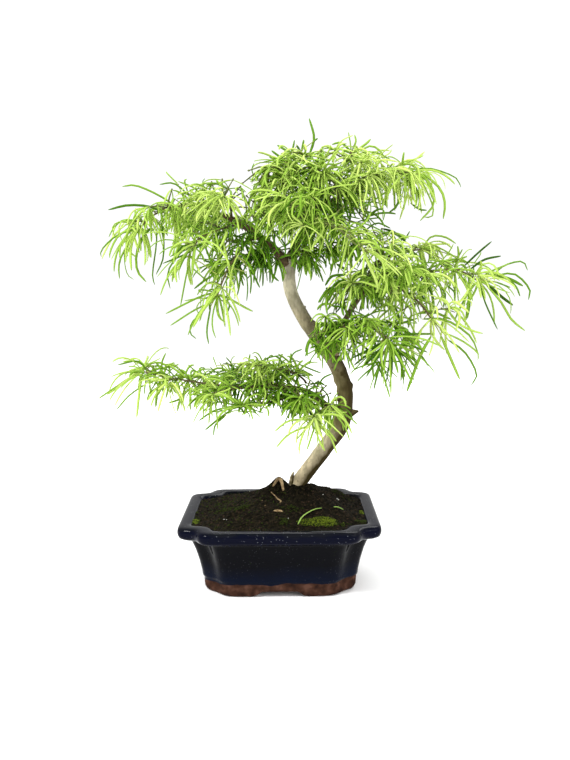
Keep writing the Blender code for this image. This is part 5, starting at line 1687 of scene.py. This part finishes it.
# Pale grains: where they lie, how high, and their sizes.
GRAINS = (
    (-49.8, -32.3), (-47.6, -32.6), (54.3, 7.7), (40.6, -0.8), (8, -38), (55.6, 7.0), (-30, 30),
)
GRAIN_LIFT = 0.5
GRAIN_SIZES = (0.5, 0.85)
CRUMB_CORNERS = (0.7, 1.25)  # how far a crumb's corners stand out, for each radius
CRUMB_SQUASH = 0.75
CRUMB_FACES = (
    (0, 2, 4), (2, 1, 4), (1, 3, 4), (3, 0, 4), (2, 0, 5), (1, 2, 5), (3, 1, 5), (0, 3, 5),
)
ROOTS = (
    (
        ((-8, 7, 82), (-5, 6, 88), (-1.5, 5, 93), (1, 4.5, 92.5), (3, 2, 86), (4.3, -1, 76)),
        (1.0, 1.1, 1.5, 1.6, 1.3, 0.8),
    ),
    (
        ((-8, 1, 81.5), (-5, -5, 80.5), (-2, -11, 79), (1.4, -16, 77.5), (-1, -18, 76)),
        (0.5, 0.5, 0.6, 0.9, 0.4),
    ),
    (((-16.3, -9.8, 76.9), (-13.5, -16, 75.4), (-13, -22.3, 74)), (0.4, 0.5, 0.4)),
)
# A chip of bark: where it lies, as x, y and the lift, its line from there and its radii.
CHIP_PLACE = (-1.0, -28.5, 0.6)
CHIP = ((-4, 0.5, 0.2), (-1, 0, 0.5), (2, -0.3, 0.2), (4, -0.6, -0.2))
CHIP_RADII = (0.5, 1.2, 1.0, 0.4)
ROOT_SIDES, CHIP_SIDES = 8, 6
# Fallen needles, each as x, y and the lift above the soil, and their widths and rolls.
FALLEN = (
    ((16.5, -46.5, 1.0), (20, -39, 1.6), (26, -32, 1.6), (32, -28, 1.4), (38.6, -26, 1.0)),
    ((49.4, -20.8, 1.0), (53.5, -19.5, 1.2), (58.5, -18.6, 0.9)),
)
FALLEN_WIDTHS = (1.9, 1.7)
FALLEN_ROLLS = (0.3, 0.2)


def humps(x, y):
    return sum(
        high * math.exp(-((x - at_x) ** 2 + (y - at_y) ** 2) / wide**2)
        for (at_x, at_y), wide, high in HUMPS
    )


def lump(place, radius, chance, squash=CRUMB_SQUASH):
    """A crumb: an octahedron with its corners pushed about."""
    points = []
    for axis in range(3):
        for sign in (-1, 1):
            point = Vector((0, 0, 0))
            point[axis] = sign * radius * chance.uniform(*CRUMB_CORNERS)
            points.append(point)
    angle = chance.uniform(0, math.tau)
    turn = Matrix.Rotation(angle, 3, Vector([chance.gauss(0, 1) for _ in range(3)]))
    points = [turn @ point for point in points]
    return [place + Vector((p.x, p.y, p.z * squash)) for p in points], CRUMB_FACES


def soil_rings():
    """Rings of the soil's surface, from below its edge up to the mound's top."""
    inset, level = VISIBLE_EDGE
    edge = soft_outline(inset, level, SOIL_SIDES)
    rings = [[point - UP * SKIRT for point in soft_outline(inset + SKIRT, level, SOIL_SIDES)]]
    for step in range(SOIL_RINGS + 1):
        share = step / SOIL_RINGS
        ring = []
        for point in edge:
            away = (point - MOUND_CENTRE).to_2d().to_3d()
            place = point.lerp(MOUND_CENTRE + away.normalized() * MOUND_TOP, share)
            inward = (point - place).to_2d().length / (away.length - MOUND_RADIUS)
            inward = min(inward, 1)
            rise = inward**2 * (3 - 2 * inward)
            place.z = level + (MOUND_CENTRE.z - level) * rise
            place.z += humps(place.x, place.y) * min(1, HUMPS_COME_IN * inward)
            place.z += noise.noise(place * SWELL[0]) * SWELL[1]
            rough = sum(noise.noise(place * fine) * high for fine, high in SOIL_NOISE)
            place.z += rough * min(1.0, share * ROUGHNESS_COMES_IN) * SOIL_NOISE_HEIGHT
            ring.append(place)
        rings.append(ring)
    return rings


def inside_pot(x, y):
    """Whether a crumb at x and y would lie on the soil, and not in a corner or outside."""
    half_x, half_y = POT_HALF_WIDTH - VISIBLE_EDGE[0], POT_HALF_DEPTH - VISIBLE_EDGE[0]
    corner = CORNER_ROOM[0] if abs(y) > half_y - CORNER_ROOM[1] else 0
    return abs(x) < half_x - corner and abs(y) < half_y


def add_soil_looks():
    materials = [
        mottled("potting_soil", EARTH_TONES, 330.0, 0.95, specular=0.05, detail=9.0, bump=1.0),
        plain("soil_brown", (0.030, 0.019, 0.012), 0.9, 0.05),
        plain("soil_black", (0.004, 0.0035, 0.002), 0.9, 0.05),
        plain("moss", (0.085, 0.115, 0.009), 0.9, 0.05),
        plain("moss_dark", (0.018, 0.026, 0.004), 0.9, 0.05),
        plain("soil_grain", (0.42, 0.42, 0.38), 0.7, 0.3),
        mottled("root_bark", ROOT_TONES, 300.0, 0.8, 0.1),
    ]
    rings = soil_rings()
    points = [point for ring in rings for point in ring]
    faces = ring_faces(len(rings), SOIL_SIDES)
    heap = Heap()
    heap.add(points, faces, EARTH)
    surface = BVHTree.FromPolygons(points, faces)

    def on_soil(x, y, lift=0.0):
        place = surface.ray_cast(Vector((x, y, ABOVE_SOIL)), -UP)[0]
        return (place or Vector((x, y, VISIBLE_EDGE[1]))) + UP * lift

    chance = random.Random("soil")
    half_x, half_y = POT_HALF_WIDTH - VISIBLE_EDGE[0], POT_HALF_DEPTH - VISIBLE_EDGE[0]
    for _ in range(CRUMBS):
        x, y = chance.uniform(-half_x, half_x), chance.uniform(-half_y, half_y)
        if inside_pot(x, y):
            place = on_soil(x, y)
            kind = chance.choice(MOSSY_CRUMBS if x < MOSSY_SIDE else BARE_CRUMBS)
            heap.add(*lump(place, chance.choice(CRUMB_SIZES), chance), kind)
    for (at_x, at_y), (wide, deep), count, tone in MOSS:
        for _ in range(count):
            angle, out = chance.uniform(0, math.tau), math.sqrt(chance.random())
            x, y = at_x + wide * out * math.cos(angle), at_y + deep * out * math.sin(angle)
            spot = Vector((x, y * MOSS_ALONG_Y, MOSS_SLICE))
            thin = noise.noise(spot * MOSS_NOISE[0]) * MOSS_NOISE[1]
            thin += chance.uniform(-MOSS_FRAY, MOSS_FRAY)
            if inside_pot(x, y) and out < MOSS_END + thin:
                place = on_soil(x, y, MOSS_HEIGHT * (1 - out))
                crumb = lump(place, chance.uniform(*MOSS_SIZES), chance, MOSS_SQUASH)
                own = chance.random() < MOST_GREEN - out / 2
                heap.add(*crumb, tone if own else DARK_MOSS)
    for x, y in GRAINS:
        place = on_soil(x, y, GRAIN_LIFT)
        heap.add(*lump(place, chance.uniform(*GRAIN_SIZES), chance), PALE)
    for path, radii in ROOTS:
        heap.add(*smooth_tube(path, radii, TWIG_STEPS, ROOT_SIDES), ROOT)
    chip = [on_soil(*CHIP_PLACE) + Vector(step) for step in CHIP]
    heap.add(*tube(chip, CHIP_RADII, CHIP_SIDES), ROOT)
    heap.piece("soil_surface", materials, slot="soil", smooth=False, replaced=["soil"])
    lines = [smooth_path([on_soil(*place) for place in line], LEADER_STEPS) for line in FALLEN]
    paths = np.array([resampled(line) for line in lines])
    points, faces, _ = blades(paths, np.array(FALLEN_WIDTHS), np.array(FALLEN_ROLLS))
    fallen = plain("needle_fallen", (0.23, 0.36, 0.075), 0.5, 0.1)
    add_piece("fallen_needles", points, faces.tolist(), [fallen])


# --- Scene ---------------------------------------------------------------------------------------
CAMERA_PLACE = Vector((11.0, -679.0, 284.0))
CAMERA_TILT, CAMERA_YAW, CAMERA_ROLL = (math.radians(angle) for angle in (8.05, -0.40, -0.66))
FOCAL_PIXELS = 747.0
PHOTO_HEIGHT = 760
# Each light's place, its size and its power. All of them look at LIT.
LIGHTS = {
    "key": ((-0.9, -0.8, 1.5), (0.26, 0.26), 27.0),
    "fill": ((1.1, -1.0, 0.9), (1.0, 1.0), 8.0),
    "back": ((0.3, 1.1, 1.3), (1.2, 0.8), 16.0),
}
LIT = Vector((0.0, 0.0, 0.24))
SKY_STRENGTH = 1.08
FLOOR_HALF_WIDTH = 6.0


def add_camera():
    ahead_level = Vector((math.sin(CAMERA_YAW), math.cos(CAMERA_YAW), 0))
    right = Vector((math.cos(CAMERA_YAW), -math.sin(CAMERA_YAW), 0))
    ahead = ahead_level * math.cos(CAMERA_TILT) - UP * math.sin(CAMERA_TILT)
    above = ahead_level * math.sin(CAMERA_TILT) + UP * math.cos(CAMERA_TILT)
    cosine, sine = math.cos(CAMERA_ROLL), math.sin(CAMERA_ROLL)
    across = right * cosine + above * sine
    upward = above * cosine - right * sine
    data = bpy.data.cameras.new("camera")
    data.sensor_fit = "VERTICAL"
    data.sensor_height = 36.0
    data.lens = FOCAL_PIXELS / PHOTO_HEIGHT * data.sensor_height
    data.clip_start = 0.02
    camera = bpy.data.objects.new("camera", data)
    turn = Matrix((across, upward, -ahead)).transposed().to_4x4()
    camera.matrix_world = Matrix.Translation(CAMERA_PLACE * MM + SHIFT) @ turn
    bpy.context.scene.collection.objects.link(camera)
    bpy.context.scene.camera = camera


def add_light(name, place, size, energy):
    data = bpy.data.lights.new(name, "AREA")
    data.shape = "RECTANGLE"
    data.size, data.size_y = size
    data.energy = energy
    light = bpy.data.objects.new(name, data)
    light.location = place
    light.rotation_euler = (LIT - light.location).to_track_quat("-Z", "Y").to_euler()
    bpy.context.scene.collection.objects.link(light)


def add_studio():
    mesh = bpy.data.meshes.new("floor")
    half = FLOOR_HALF_WIDTH
    corners = [(-half, -half, 0), (half, -half, 0), (half, half, 0), (-half, half, 0)]
    mesh.from_pydata(corners, [], [(0, 1, 2, 3)])
    mesh.materials.append(plain("floor_paint", (0.95, 0.95, 0.95), 0.9, 0.0))
    floor = bpy.data.objects.new("floor", mesh)
    bpy.context.scene.collection.objects.link(floor)
    for name, light in LIGHTS.items():
        add_light(name, *light)
    world = bpy.data.worlds.new("studio")
    world.use_nodes = True
    background = world.node_tree.nodes["Background"]
    background.inputs["Color"].default_value = (1, 1, 1, 1)
    background.inputs["Strength"].default_value = SKY_STRENGTH
    bpy.context.scene.world = world
    bpy.context.scene.view_settings.view_transform = "Standard"


def main():
    limbs = plan_limbs()
    masses, bark, crowd = plan_twigs(limbs)
    plan_needles(masses, bark, crowd)
    add_foliage(masses, bark)
    add_bark(limbs)
    add_pot_looks()
    add_soil_looks()
    add_camera()
    add_studio()


main()
